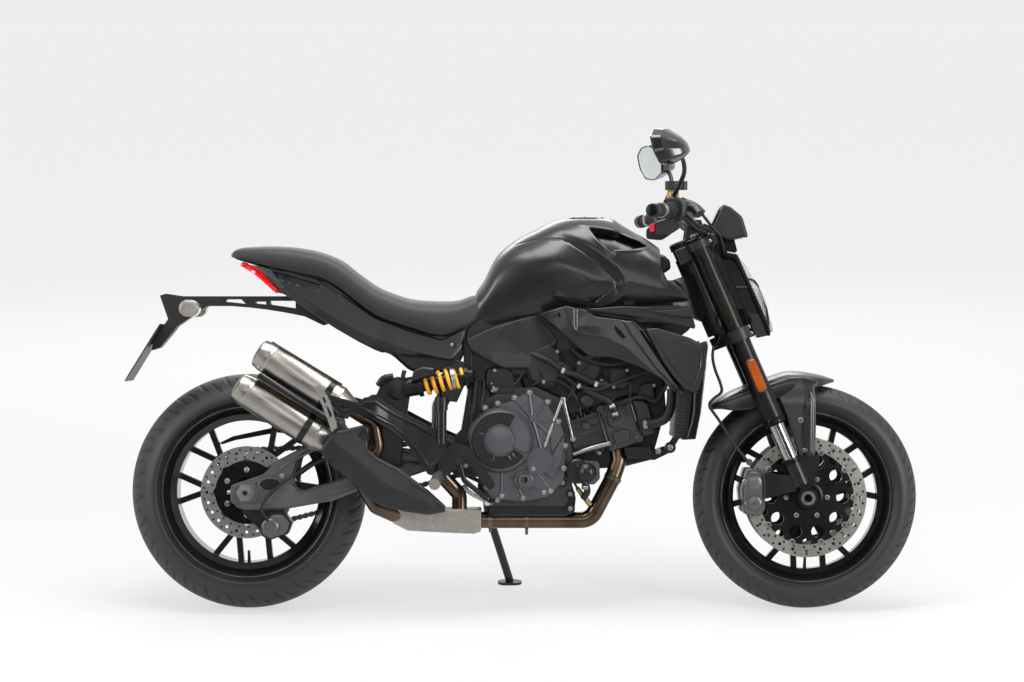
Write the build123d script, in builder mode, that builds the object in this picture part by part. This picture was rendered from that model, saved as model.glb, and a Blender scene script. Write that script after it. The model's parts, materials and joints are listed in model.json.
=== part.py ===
from build123d import *
import os
from math import acos, atan2, cos, degrees, radians, sin, tan

# Standard motorcycle: a naked road bike with a V-twin engine, twin stacked silencers
# on the right and a leg on the left that it leans on. Everything is drawn on the upright
# bike, X forward, Y to the rider's left, Z up from the road, in mm. The front axle and
# the body stay where they are, and the rear axle and the swingarm follow the wheelbase.
# At the end each piece is leaned over with the whole bike, as it stands parked.
os.makedirs("parts", exist_ok=True)

# Main sizes
WHEELBASE = 1492
LEAN = 10.0  # degrees, towards the left
FRONT_TYRE_R = 300
FRONT_TYRE_WIDTH = 120
FRONT_CROWN_R = 62
REAR_TYRE_R = 314
REAR_TYRE_WIDTH = 180
REAR_CROWN_R = 95
RIM_FLANGE_R = 229
RAKE = 23.4
FORK_OFFSET = 34
FORK_HALF_SPREAD = 103
BAR_HALF_WIDTH = 390
SEAT_HALF_WIDTH = 140
TANK_HALF_WIDTH = 158

# The axles sit where both tyre crowns meet the road once the bike leans.
FRONT_AXLE_Z = FRONT_TYRE_R - FRONT_CROWN_R + FRONT_CROWN_R / cos(radians(LEAN))
REAR_AXLE_Z = REAR_TYRE_R - REAR_CROWN_R + REAR_CROWN_R / cos(radians(LEAN))
FRONT_AXLE_X = 1492
REAR_AXLE_X = FRONT_AXLE_X - WHEELBASE
FRONT_AXLE = (FRONT_AXLE_X, 0, FRONT_AXLE_Z)
REAR_AXLE = (REAR_AXLE_X, 0, REAR_AXLE_Z)

# Steering axis: local x is the rider's left, local y points back, local z runs up the axis.
RAKE_SIN = sin(radians(RAKE))
RAKE_COS = cos(radians(RAKE))
STEER_FOOT = (
    FRONT_AXLE_X - FORK_OFFSET * RAKE_COS,
    0,
    FRONT_AXLE_Z - FORK_OFFSET * RAKE_SIN,
)
STEER = Plane(origin=STEER_FOOT, x_dir=(0, 1, 0), z_dir=(-RAKE_SIN, 0, RAKE_COS))

# The road as seen from the leaned bike rises towards the left.
ROAD_SLOPE = tan(radians(LEAN))


def side(y):
    """The side view plane at a distance y to the left; it grows towards the right."""
    return Plane.XZ.offset(-y)


def wheel_half_plane(axle):
    """Section plane through an axle: local x is the axle, local y the radius."""
    return Plane(origin=axle, x_dir=(0, 1, 0), z_dir=(1, 0, 0))


def axle_line(axle):
    """The axle's own axis, pointing left."""
    return Axis(axle, (0, 1, 0))


def pipe(points, bend, radius):
    """One round bar or pipe along straight runs joined by bends."""
    with BuildPart() as run:
        with BuildLine() as route:
            FilletPolyline(points, radius=bend)
        with BuildSketch(Plane(origin=route.line @ 0, z_dir=route.line % 0)):
            Circle(radius)
        sweep(path=route.line)
    return run.part


def outline(points, radius):
    """A closed flat outline, its corners rounded as far as the sides beside them allow."""
    corners = [Vector(*point) for point in points]
    radii = []
    for i, corner in enumerate(corners):
        before = corners[i - 1] - corner
        after = corners[(i + 1) % len(corners)] - corner
        half_turn = (180 - before.get_angle(after)) / 2
        room = 0.45 * min(before.length, after.length)
        radii.append(0 if half_turn < 4 else min(radius, room / tan(radians(half_turn))))
    with BuildSketch() as shape:
        with BuildLine():
            FilletPolyline(points, radius=radii, close=True)
        make_face()
    return shape.sketch


def polygon(points):
    """A closed flat outline with sharp corners."""
    with BuildSketch() as shape:
        Polygon(points, align=None)
    return shape.sketch


# ---------------------------------------------------------------- front wheel
FRONT_DISC_Y = FORK_HALF_SPREAD - 33
FRONT_AXLE_R = 12.5
HUB_PLAY = 0.05
SPOKE_HALF = 13


def tyre_section(half_width, outer_r, crown_r, half_rim):
    """Half-round carcass with a hollow inside, open towards the rim between the beads."""
    shoulder_r = outer_r - half_width * 0.72
    quarter = half_width * 0.62
    quarter_r = outer_r - crown_r + (crown_r**2 - quarter**2) ** 0.5
    inner_bead = half_rim - 12
    with BuildSketch() as section:
        with BuildLine():
            Spline(
                (half_rim, RIM_FLANGE_R + 1),
                (half_width, shoulder_r),
                (quarter, quarter_r),
                (0, outer_r),
                (-quarter, quarter_r),
                (-half_width, shoulder_r),
                (-half_rim, RIM_FLANGE_R + 1),
            )
            Polyline(
                (-half_rim, RIM_FLANGE_R + 1),
                (-half_rim, RIM_FLANGE_R - 12),
                (-inner_bead, RIM_FLANGE_R - 12),
                (-inner_bead, RIM_FLANGE_R),
            )
            Spline(
                (-inner_bead, RIM_FLANGE_R),
                (-half_width + 9, shoulder_r),
                (0, outer_r - 13),
                (half_width - 9, shoulder_r),
                (inner_bead, RIM_FLANGE_R),
            )
            Polyline(
                (inner_bead, RIM_FLANGE_R),
                (inner_bead, RIM_FLANGE_R - 12),
                (half_rim, RIM_FLANGE_R - 12),
                (half_rim, RIM_FLANGE_R + 1),
            )
        make_face()
    return section.sketch


def rim_section(half_rim, barrel_r):
    """Rim with two flanges, bead seats and a drop centre."""
    flange = half_rim + 5
    return polygon(
        [
            (-flange, RIM_FLANGE_R - 1),
            (-half_rim, RIM_FLANGE_R - 1),
            (-half_rim, RIM_FLANGE_R - 12),
            (-half_rim + 17, RIM_FLANGE_R - 12),
            (-half_rim + 25, RIM_FLANGE_R - 24),
            (half_rim - 25, RIM_FLANGE_R - 24),
            (half_rim - 17, RIM_FLANGE_R - 12),
            (half_rim, RIM_FLANGE_R - 12),
            (half_rim, RIM_FLANGE_R - 1),
            (flange, RIM_FLANGE_R - 1),
            (flange, RIM_FLANGE_R - 8),
            (half_rim - 14, RIM_FLANGE_R - 22),
            (half_rim - 22, barrel_r),
            (-half_rim + 22, barrel_r),
            (-half_rim + 14, RIM_FLANGE_R - 22),
            (-flange, RIM_FLANGE_R - 8),
        ]
    )


def spoke_pattern(start_angle, hub_r, barrel_r):
    """Six forked spokes in three pairs, flat in the wheel's own plane."""
    outer = barrel_r + 6
    with BuildSketch() as pattern:
        for group in range(3):
            for swing in (-22.5, 22.5):
                with PolarLocations(0, 1, start_angle=start_angle + 120 * group + swing):
                    Polygon(
                        (hub_r - 8, -15),
                        (106, -11),
                        (outer, -barrel_r * 0.25),
                        (outer, -barrel_r * 0.16),
                        (128, -3),
                        (128, 3),
                        (outer, barrel_r * 0.16),
                        (outer, barrel_r * 0.25),
                        (106, 11),
                        (hub_r - 8, 15),
                        align=None,
                    )
    return pattern.sketch


def wheel_plane(axle, y=0):
    """Flat plane of a wheel seen from the right, centred on its axle at a distance y."""
    return Plane(origin=(axle[0], y, axle[2]), x_dir=(1, 0, 0), z_dir=(0, -1, 0))


with BuildPart() as front_tyre:
    with BuildSketch(wheel_half_plane(FRONT_AXLE)):
        add(tyre_section(FRONT_TYRE_WIDTH / 2, FRONT_TYRE_R, FRONT_CROWN_R, 45))
    revolve(axis=axle_line(FRONT_AXLE))

with BuildPart() as front_rim:
    with BuildSketch(wheel_half_plane(FRONT_AXLE)):
        add(rim_section(45, 193))
    revolve(axis=axle_line(FRONT_AXLE))
    with BuildSketch(wheel_plane(FRONT_AXLE)):
        add(spoke_pattern(33, 46, 193))
    extrude(amount=SPOKE_HALF, both=True)
    with BuildSketch(wheel_half_plane(FRONT_AXLE)):
        add(
            polygon(
                [
                    (-60, 0),
                    (-60, 26),
                    (-FRONT_DISC_Y + 2.5, 34),
                    (-FRONT_DISC_Y + 2.5, 58),
                    (-56, 58),
                    (-48, 44),
                    (-20, 46),
                    (20, 46),
                    (48, 44),
                    (56, 58),
                    (FRONT_DISC_Y - 2.5, 58),
                    (FRONT_DISC_Y - 2.5, 34),
                    (60, 26),
                    (60, 0),
                ]
            )
        )
    revolve(axis=axle_line(FRONT_AXLE))
    with BuildSketch(wheel_plane(FRONT_AXLE)):
        Circle(FRONT_AXLE_R + HUB_PLAY)
    extrude(amount=100, both=True, mode=Mode.SUBTRACT)

with BuildPart() as front_brake_discs:
    for disc_y in (-FRONT_DISC_Y, FRONT_DISC_Y):
        with BuildSketch(wheel_plane(FRONT_AXLE, disc_y)):
            Circle(160)
            Circle(126, mode=Mode.SUBTRACT)
            with PolarLocations(143, 24):
                Circle(4.5, mode=Mode.SUBTRACT)
        extrude(amount=2.5, both=True)

with BuildPart() as front_disc_carriers:
    for disc_y in (-FRONT_DISC_Y, FRONT_DISC_Y):
        with BuildSketch(wheel_plane(FRONT_AXLE, disc_y)):
            Circle(126)
            Circle(40, mode=Mode.SUBTRACT)
            with PolarLocations(96, 10):
                Circle(17, mode=Mode.SUBTRACT)
            with PolarLocations(122, 10, start_angle=18):
                Circle(12, mode=Mode.SUBTRACT)
        extrude(amount=2.5, both=True)

# ---------------------------------------------------------------- rear wheel
REAR_DISC_Y = -92
CHAIN_Y = 108
REAR_AXLE_R = 12.5

with BuildPart() as rear_tyre:
    with BuildSketch(wheel_half_plane(REAR_AXLE)):
        add(tyre_section(REAR_TYRE_WIDTH / 2, REAR_TYRE_R, REAR_CROWN_R, 70))
    revolve(axis=axle_line(REAR_AXLE))

with BuildPart() as rear_rim:
    with BuildSketch(wheel_half_plane(REAR_AXLE)):
        add(rim_section(70, 190))
    revolve(axis=axle_line(REAR_AXLE))
    with BuildSketch(wheel_plane(REAR_AXLE)):
        add(spoke_pattern(35.5, 50, 190))
    extrude(amount=SPOKE_HALF, both=True)
    with BuildSketch(wheel_half_plane(REAR_AXLE)):
        add(
            polygon(
                [
                    (-84, 0),
                    (-84, 30),
                    (REAR_DISC_Y + 2.5, 36),
                    (REAR_DISC_Y + 2.5, 60),
                    (-76, 60),
                    (-64, 44),
                    (-20, 50),
                    (20, 50),
                    (60, 52),
                    (66, 74),
                    (CHAIN_Y - 4, 74),
                    (CHAIN_Y - 4, 30),
                    (CHAIN_Y - 2, 0),
                ]
            )
        )
    revolve(axis=axle_line(REAR_AXLE))
    with BuildSketch(wheel_plane(REAR_AXLE)):
        Circle(REAR_AXLE_R + HUB_PLAY)
    extrude(amount=140, both=True, mode=Mode.SUBTRACT)

with BuildPart() as rear_brake_disc:
    with BuildSketch(wheel_plane(REAR_AXLE, REAR_DISC_Y)):
        Circle(122.5)
        Circle(40, mode=Mode.SUBTRACT)
        with PolarLocations(74, 8):
            Circle(15, mode=Mode.SUBTRACT)
        with PolarLocations(106, 24):
            Circle(4, mode=Mode.SUBTRACT)
    extrude(amount=2.5, both=True)

SPROCKET_R = 98
with BuildPart() as rear_sprocket:
    with BuildSketch(wheel_plane(REAR_AXLE, CHAIN_Y)):
        Circle(SPROCKET_R)
        Circle(30, mode=Mode.SUBTRACT)
        with PolarLocations(79, 6):
            SlotOverall(26, 12, rotation=90, mode=Mode.SUBTRACT)
    extrude(amount=4, both=True)

# ---------------------------------------------------------------- fork, yokes, front axle
LOWER_YOKE_AT = 455
UPPER_YOKE_AT = 722
YOKE_THICK = 32
TUBE_R = 27.5
STANCHION_R = 21.5
STEM_R = 18


def fork_bars(start, end, radius):
    """Two round bars along the fork, from start to end above the front axle."""
    with BuildPart() as bars:
        with BuildSketch(STEER.offset(start)):
            with Locations((-FORK_HALF_SPREAD, -FORK_OFFSET), (FORK_HALF_SPREAD, -FORK_OFFSET)):
                Circle(radius)
        extrude(amount=end - start)
    return bars.part


def yoke_outline(clamp_r, stem_r):
    """Yoke seen along the steering axis: two clamps joined to the stem's boss."""
    with BuildSketch() as shape:
        with Locations((-FORK_HALF_SPREAD, -FORK_OFFSET), (FORK_HALF_SPREAD, -FORK_OFFSET)):
            Circle(clamp_r)
        Circle(stem_r)
        Polygon(
            (-FORK_HALF_SPREAD, -FORK_OFFSET - clamp_r * 0.8),
            (FORK_HALF_SPREAD, -FORK_OFFSET - clamp_r * 0.8),
            (FORK_HALF_SPREAD, -FORK_OFFSET + clamp_r * 0.6),
            (20, stem_r * 0.8),
            (-20, stem_r * 0.8),
            (-FORK_HALF_SPREAD, -FORK_OFFSET + clamp_r * 0.6),
            align=None,
        )
        with Locations((-FORK_HALF_SPREAD, -FORK_OFFSET), (FORK_HALF_SPREAD, -FORK_OFFSET)):
            Circle(TUBE_R, mode=Mode.SUBTRACT)
    return shape.sketch


with BuildPart() as fork_outer_tubes:
    add(fork_bars(218, 750, TUBE_R))
    add(fork_bars(750, 756, 21))

with BuildPart() as fork_stanchions:
    add(fork_bars(100, 218, STANCHION_R))

FOOT_HALF = 14  # half thickness of the fork foot's ears
with BuildPart() as fork_feet:
    add(fork_bars(38, 100, 24))
    for ear_y in (-FORK_HALF_SPREAD, FORK_HALF_SPREAD):
        with BuildSketch(wheel_plane(FRONT_AXLE, ear_y)):
            Circle(27)
            Polygon((-20, 20), (-44, 90), (-38, 112), (30, 112), (30, 84), (8, 26), align=None)
            Polygon((-30, 20), (-113, -2), (-113, 66), (-44, 60), align=None)
        extrude(amount=FOOT_HALF, both=True)
    with BuildSketch(wheel_plane(FRONT_AXLE)):
        Circle(FRONT_AXLE_R)
    extrude(amount=140, both=True, mode=Mode.SUBTRACT)
    add(fork_stanchions.part, mode=Mode.SUBTRACT)

with BuildPart() as lower_yoke:
    with BuildSketch(STEER.offset(LOWER_YOKE_AT)):
        add(yoke_outline(37, 34))
    extrude(amount=YOKE_THICK)
    with BuildSketch(STEER.offset(LOWER_YOKE_AT)):
        Circle(STEM_R)
    extrude(amount=UPPER_YOKE_AT - LOWER_YOKE_AT)

with BuildPart() as upper_yoke:
    with BuildSketch(STEER.offset(UPPER_YOKE_AT)):
        add(yoke_outline(33, 30))
    extrude(amount=22)
    for riser_y in (-46, 46):
        with BuildSketch(side(riser_y)):
            add(outline([(1168, 990), (1216, 968), (1222, 1000), (1212, 1042), (1176, 1042)], 5))
        extrude(amount=14, both=True)
    with BuildSketch(side(0)):
        with Locations((1193, 1026)):
            Circle(11.1)
    extrude(amount=90, both=True, mode=Mode.SUBTRACT)

AXLE_HOLE_R = 10.5
FOOT_INNER = FORK_HALF_SPREAD - FOOT_HALF
FOOT_OUTER = FORK_HALF_SPREAD + FOOT_HALF
with BuildPart() as front_axle:
    with BuildSketch(wheel_plane(FRONT_AXLE)):
        Circle(FRONT_AXLE_R)
    extrude(amount=FOOT_OUTER + 7, both=True)
    with BuildSketch(wheel_plane(FRONT_AXLE, -FOOT_OUTER)):
        Circle(19)
    extrude(amount=7)
    with BuildSketch(wheel_plane(FRONT_AXLE, FOOT_OUTER + 7)):
        Circle(17)
    extrude(amount=7)
    with BuildSketch(wheel_plane(FRONT_AXLE, -FOOT_INNER)):
        Circle(18)
    extrude(amount=65 - FOOT_INNER)
    with BuildSketch(wheel_plane(FRONT_AXLE, FOOT_INNER)):
        Circle(18)
    extrude(amount=FOOT_INNER - 65)
    with BuildSketch(wheel_plane(FRONT_AXLE)):
        Circle(AXLE_HOLE_R)
    extrude(amount=140, both=True, mode=Mode.SUBTRACT)

# Front calipers: a body over each disc, bolted to the fork foot behind the leg.
with BuildPart() as front_calipers:
    with BuildSketch(side(-FRONT_DISC_Y)):
        add(outline([(1322, 258), (1364, 252), (1379, 270), (1379, 350), (1372, 376), (1332, 376),
                     (1316, 320)], 7))
    extrude(amount=33, both=True)
    with BuildSketch(wheel_plane(FRONT_AXLE, -FRONT_DISC_Y)):
        Circle(167)
    extrude(amount=8, both=True, mode=Mode.SUBTRACT)
    with BuildSketch(wheel_plane(FRONT_AXLE, -FRONT_DISC_Y - 33)):
        with Locations((-146, 42), (-142, -16)):
            Circle(16)
    extrude(amount=5)
    mirror(about=Plane.XZ)

# ---------------------------------------------------------------- front mudguard
with BuildPart() as front_fender:
    with BuildSketch(wheel_half_plane(FRONT_AXLE)):
        with BuildLine():
            Polyline((-73.5, 296), (-73.5, 312))
            ThreePointArc((-73.5, 312), (0, 338), (73.5, 312))
            Polyline((73.5, 312), (73.5, 296), (69.5, 296), (69.5, 309.5))
            ThreePointArc((69.5, 309.5), (0, 333.5), (-69.5, 309.5))
            Polyline((-69.5, 309.5), (-69.5, 296), (-73.5, 296))
        make_face()
    revolve(axis=axle_line(FRONT_AXLE))
    with BuildSketch(wheel_plane(FRONT_AXLE)):
        add(
            polygon(
                [
                    (0, 0),
                    (93, 400),
                    (-420, 420),
                    (-300, 190),
                ]
            )
        )
    extrude(amount=120, both=True, mode=Mode.INTERSECT)
    for leg_y in (-78, 78):
        with BuildSketch(side(leg_y)):
            add(
                outline(
                    [(1396, 600), (1441, 517), (1465, 456), (1482, 396), (1513, 394), (1518, 470),
                     (1522, 604)],
                    6,
                )
            )
        extrude(amount=6, both=True)
        with BuildSketch(side(leg_y)):
            with Locations((1499, 403)):
                Circle(7)
        extrude(amount=FORK_HALF_SPREAD - FOOT_HALF - 78, both=True)
    with BuildSketch(wheel_plane(FRONT_AXLE)):
        Circle(168)
    extrude(amount=78, both=True, mode=Mode.SUBTRACT)
    with BuildSketch(wheel_plane(FRONT_AXLE)):
        Circle(309)
    extrude(amount=69.5, both=True, mode=Mode.SUBTRACT)

# ---------------------------------------------------------------- headlight and dash
with BuildPart() as headlight_shell:
    with BuildSketch(side(0)):
        add(
            outline(
                [(1284, 955), (1304, 949), (1321, 912), (1339, 872), (1365, 814), (1391, 756), (1393, 733),
                 (1361, 726), (1343, 766), (1306, 854), (1270, 931)],
                3,
            )
        )
    extrude(amount=90, both=True)
    with BuildSketch(Plane.YZ.offset(1250)):
        add(outline([(-70, 960), (70, 960), (88, 860), (74, 790), (44, 722), (-44, 722), (-74, 790),
                     (-88, 860)], 16))
    extrude(amount=200, mode=Mode.INTERSECT)

with BuildPart() as headlight_lens:
    with BuildSketch(side(0)):
        with BuildLine():
            Polyline((1306, 944), (1321, 912), (1339, 872), (1365, 814), (1391, 756), (1393, 742),
                     (1404, 744))
            Spline((1404, 744), (1398, 770), (1380, 814), (1354, 872), (1328, 923), (1306, 944))
        make_face()
    extrude(amount=82, both=True)
    with BuildSketch(Plane.YZ.offset(1250)):
        add(outline([(-62, 950), (62, 950), (82, 860), (68, 794), (40, 732), (-40, 732), (-68, 794),
                     (-82, 860)], 16))
    extrude(amount=200, mode=Mode.INTERSECT)
    add(headlight_shell.part, mode=Mode.SUBTRACT)

with BuildPart() as instrument_display:
    with BuildSketch(side(0)):
        add(outline([(1270, 1083), (1233, 1004), (1284, 987), (1334, 997), (1319, 1048), (1286, 1077)], 4))
    extrude(amount=78, both=True)
    fillet(instrument_display.edges().filter_by(Axis.Y, reverse=True).group_by(Axis.Y)[0], 6)
    fillet(instrument_display.edges().filter_by(Axis.Y, reverse=True).group_by(Axis.Y)[-1], 6)

with BuildPart() as headlight_bracket:
    with BuildSketch(side(0)):
        add(polygon([(1216, 985), (1236, 955), (1275, 930), (1310, 960), (1300, 1000), (1240, 1010)]))
    extrude(amount=28, both=True)
    with BuildSketch(side(0)):
        add(polygon([(1300, 800), (1325, 742), (1370, 730), (1350, 800), (1330, 830)]))
    extrude(amount=30, both=True)
    add(upper_yoke.part, mode=Mode.SUBTRACT)
    add(lower_yoke.part, mode=Mode.SUBTRACT)
    add(headlight_shell.part, mode=Mode.SUBTRACT)
    add(instrument_display.part, mode=Mode.SUBTRACT)

# ---------------------------------------------------------------- handlebar and controls
BAR_R = 11.1
BAR_CLAMP = (1193, 1026)
GRIP_START = (1142, -205, 1064)
BAR_END = (1072, -BAR_HALF_WIDTH, 1054)


def along_bar(distance_from_middle):
    """Plane across the outer right part of the bar at a sideways distance, facing outwards."""
    share = (distance_from_middle + GRIP_START[1]) / (BAR_HALF_WIDTH + GRIP_START[1])
    point = (
        GRIP_START[0] + share * (BAR_END[0] - GRIP_START[0]),
        -distance_from_middle,
        GRIP_START[2] + share * (BAR_END[2] - GRIP_START[2]),
    )
    facing = (BAR_END[0] - GRIP_START[0], BAR_END[1] - GRIP_START[1], BAR_END[2] - GRIP_START[2])
    return Plane(origin=point, x_dir=(0, 0, 1), z_dir=facing)


with BuildPart() as handlebar:
    add(
        pipe(
            [
                BAR_END,
                GRIP_START,
                (BAR_CLAMP[0], -85, BAR_CLAMP[1]),
                (BAR_CLAMP[0], 85, BAR_CLAMP[1]),
                (GRIP_START[0], -GRIP_START[1], GRIP_START[2]),
                (BAR_END[0], -BAR_END[1], BAR_END[2]),
            ],
            35,
            BAR_R,
        )
    )

with BuildPart() as grips:
    with BuildSketch(along_bar(262)):
        Circle(16.5)
        Circle(BAR_R, mode=Mode.SUBTRACT)
    extrude(amount=118)
    with BuildSketch(along_bar(258)):
        Circle(20)
        Circle(BAR_R, mode=Mode.SUBTRACT)
    extrude(amount=5)
    with BuildSketch(along_bar(BAR_HALF_WIDTH)):
        Circle(18)
    extrude(amount=16)
    with BuildSketch(along_bar(381)):
        Circle(18)
        Circle(BAR_R, mode=Mode.SUBTRACT)
    extrude(amount=10)
    mirror(about=Plane.XZ)

with BuildPart() as switch_housings:
    with BuildSketch(along_bar(218)):
        Rectangle(52, 46)
        Circle(BAR_R, mode=Mode.SUBTRACT)
    extrude(amount=36)
    fillet(switch_housings.edges().filter_by(GeomType.LINE).group_by(SortBy.LENGTH)[0][:4], 3)
    mirror(about=Plane.XZ)

with BuildPart() as control_levers:
    with BuildSketch(along_bar(188)):
        with Locations((0, 0)):
            Circle(17)
        Circle(BAR_R, mode=Mode.SUBTRACT)
    extrude(amount=20)
    add(pipe([(1160, -195, 1058), (1200, -215, 1050), (1190, -300, 1044), (1158, -372, 1040)], 16, 6.5))
    add(pipe([(1150, -196, 1080), (1186, -212, 1066), (1196, -228, 1050)], 6, 12))
    mirror(about=Plane.XZ)
    add(handlebar.part, mode=Mode.SUBTRACT)

with BuildPart() as brake_fluid_cup:
    with BuildSketch(Plane.XY.offset(1092)):
        with Locations((1130, -190)):
            Circle(15)
    extrude(amount=24)
    with BuildSketch(Plane.XY.offset(1116)):
        with Locations((1138, -192)):
            RectangleRounded(58, 44, 10)
    extrude(amount=22)
    with BuildSketch(Plane.XY.offset(1070)):
        with Locations((1136, -192)):
            Circle(9)
    extrude(amount=24)
    add(handlebar.part, mode=Mode.SUBTRACT)
    add(control_levers.part, mode=Mode.SUBTRACT)

# Mirrors: a shell on a bent stem, the glass facing back.
MIRROR_Y = 378
with BuildPart() as mirror_shells:
    with BuildSketch(side(-MIRROR_Y)):
        add(outline([(1084, 1236), (1100, 1266), (1122, 1263), (1147, 1247), (1162, 1215), (1164, 1182),
                     (1142, 1178),
                     (1112, 1172), (1104, 1186)], 7))
    extrude(amount=72, both=True)
    with BuildSketch(Plane.YZ.offset(1060)):
        with Locations((-MIRROR_Y, 1219)):
            RectangleRounded(142, 94, 34)
    extrude(amount=130, mode=Mode.INTERSECT)
    mirror(about=Plane.XZ)

with BuildPart() as mirror_stems:
    add(pipe([(1136, -228, 1058), (1128, -238, 1092), (1146, -300, 1136), (1136, -346, 1190)], 16, 6))
    with BuildSketch(Plane.XY.offset(1072)):
        with Locations((1133, -232)):
            Circle(11)
    extrude(amount=16)
    mirror(about=Plane.XZ)
    add(mirror_shells.part, mode=Mode.SUBTRACT)
    add(handlebar.part, mode=Mode.SUBTRACT)
    add(switch_housings.part, mode=Mode.SUBTRACT)

with BuildPart() as mirror_glasses:
    with BuildSketch(side(-MIRROR_Y)):
        add(polygon([(1080.5, 1237.5), (1096, 1267), (1100, 1266), (1084, 1236), (1104, 1186), (1112, 1172),
                     (1108, 1170),
                     (1100.5, 1185)]))
    extrude(amount=66, both=True)
    with BuildSketch(Plane.YZ.offset(1060)):
        with Locations((-MIRROR_Y, 1219)):
            RectangleRounded(132, 82, 30)
    extrude(amount=130, mode=Mode.INTERSECT)
    mirror(about=Plane.XZ)
    add(mirror_shells.part, mode=Mode.SUBTRACT)

# ---------------------------------------------------------------- frame
FRAME_INNER_Y = 78
FRAME_OUTER_Y = 94

with BuildPart() as main_frame:
    with BuildSketch(side(0)):
        add(polygon([(1100, 770), (1150, 798), (1215, 770), (1230, 800), (1190, 900), (1128, 878)]))
    extrude(amount=FRAME_OUTER_Y, both=True)
    with BuildSketch(Plane.XY.offset(700)):
        add(
            polygon(
                [(1000, -FRAME_OUTER_Y), (1110, -FRAME_OUTER_Y), (1240, -36), (1240, 36),
                 (1110, FRAME_OUTER_Y),
                 (1000, FRAME_OUTER_Y)]
            )
        )
    extrude(amount=260, mode=Mode.INTERSECT)
    for plate_y in (-FRAME_INNER_Y, FRAME_OUTER_Y):
        with BuildSketch(side(plate_y)):
            add(
                outline(
                    [(1110, 774), (1060, 745), (860, 690), (700, 640), (650, 600), (630, 470), (604, 440),
                     (604, 362), (545, 362),
                     (540, 450), (570, 480), (590, 600), (577, 640), (577, 720), (660, 715), (860, 752),
                     (1020, 800),
                     (1110, 866)],
                    14,
                )
            )
        extrude(amount=FRAME_OUTER_Y - FRAME_INNER_Y)
    with BuildSketch(STEER.offset(LOWER_YOKE_AT + YOKE_THICK + 6)):
        Circle(34)
    extrude(amount=UPPER_YOKE_AT - LOWER_YOKE_AT - YOKE_THICK - 12)
    with BuildSketch(STEER.offset(LOWER_YOKE_AT)):
        Circle(STEM_R + HUB_PLAY)
    extrude(amount=300, mode=Mode.SUBTRACT)


# ---------------------------------------------------------------- engine
BANK = Plane(origin=(850, 0, 455), x_dir=(0, 1, 0), z_dir=(cos(radians(16.5)), 0, sin(radians(16.5))))
REAR_BANK = Plane(origin=(690, 0, 585), x_dir=(0, 1, 0), z_dir=(cos(radians(107)), 0, sin(radians(107))))

with BuildPart() as crankcase:
    with BuildSketch(side(0)):
        add(
            outline(
                [(616, 352), (650, 279), (848, 279), (866, 330), (868, 400), (852, 506), (842, 560),
                 (770, 596),
                 (690, 590), (628, 560), (618, 470)],
                14,
            )
        )
    extrude(amount=98, both=True)
    add(main_frame.part, mode=Mode.SUBTRACT)

with BuildPart() as clutch_cover:
    with BuildSketch(side(-98)):
        add(
            outline(
                [(632, 330), (653, 300), (735, 292), (800, 305), (842, 345), (846, 420), (826, 500),
                 (798, 556),
                 (752, 584), (706, 560), (650, 540), (628, 470)],
                18,
            )
        )
    extrude(amount=20)
    with BuildSketch(side(-118)):
        with Locations((675, 455)):
            Circle(85)
    extrude(amount=22, taper=12)
    with BuildSketch(side(-140)):
        with Locations((675, 455)):
            Circle(40)
    extrude(amount=6, taper=20)
    with BuildSketch(side(-118)):
        with Locations((735, 350)):
            Circle(22)
        with Locations((780, 400)):
            Circle(34)
    extrude(amount=10)

with BuildPart() as generator_cover:
    with BuildSketch(side(98)):
        add(
            outline(
                [(650, 330), (680, 300), (780, 300), (842, 345), (846, 420), (826, 500), (780, 540),
                 (700, 540),
                 (660, 470)],
                18,
            )
        )
    extrude(amount=-18)
    with BuildSketch(side(116)):
        with Locations((752, 430)):
            Circle(82)
    extrude(amount=-34, taper=14)

with BuildPart() as water_pump:
    with BuildSketch(side(-60)):
        add(outline([(868, 342), (924, 336), (940, 352), (938, 398), (868, 402)], 10))
    extrude(amount=50)
    with BuildSketch(side(-110)):
        with Locations((905, 369)):
            Circle(24)
    extrude(amount=12, taper=15)
    add(crankcase.part, mode=Mode.SUBTRACT)


def cylinder_bank(bank, barrel, head, cover):
    """Barrel with fins, head and rocker cover stacked along one bank."""
    with BuildPart() as stack:
        with BuildSketch(bank.offset(-20)):
            RectangleRounded(140, 104, 14)
        extrude(amount=barrel + 20)
        with BuildSketch(bank.offset(barrel)):
            RectangleRounded(164, 128, 12)
        extrude(amount=head)
        with BuildSketch(bank.offset(barrel + head)):
            RectangleRounded(156, 112, 16)
        extrude(amount=cover, taper=10)
        for fin in range(4):
            with BuildSketch(bank.offset(24 + fin * 20)):
                RectangleRounded(156, 120, 14)
            extrude(amount=5)
    return stack.part


with BuildPart() as front_cylinder:
    add(cylinder_bank(BANK, 110, 84, 40))
    add(crankcase.part, mode=Mode.SUBTRACT)

with BuildPart() as rear_cylinder:
    add(cylinder_bank(REAR_BANK, 50, 60, 24))
    add(crankcase.part, mode=Mode.SUBTRACT)
    with BuildSketch(side(0)):
        add(polygon([(500, 560), (800, 560), (800, 668), (500, 628)]))
    extrude(amount=120, both=True, mode=Mode.INTERSECT)
    with BuildSketch(side(0)):
        add(polygon([(450, 500), (900, 500), (900, 900), (450, 900)]))
    extrude(amount=FRAME_INNER_Y, both=True, mode=Mode.INTERSECT)

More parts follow.
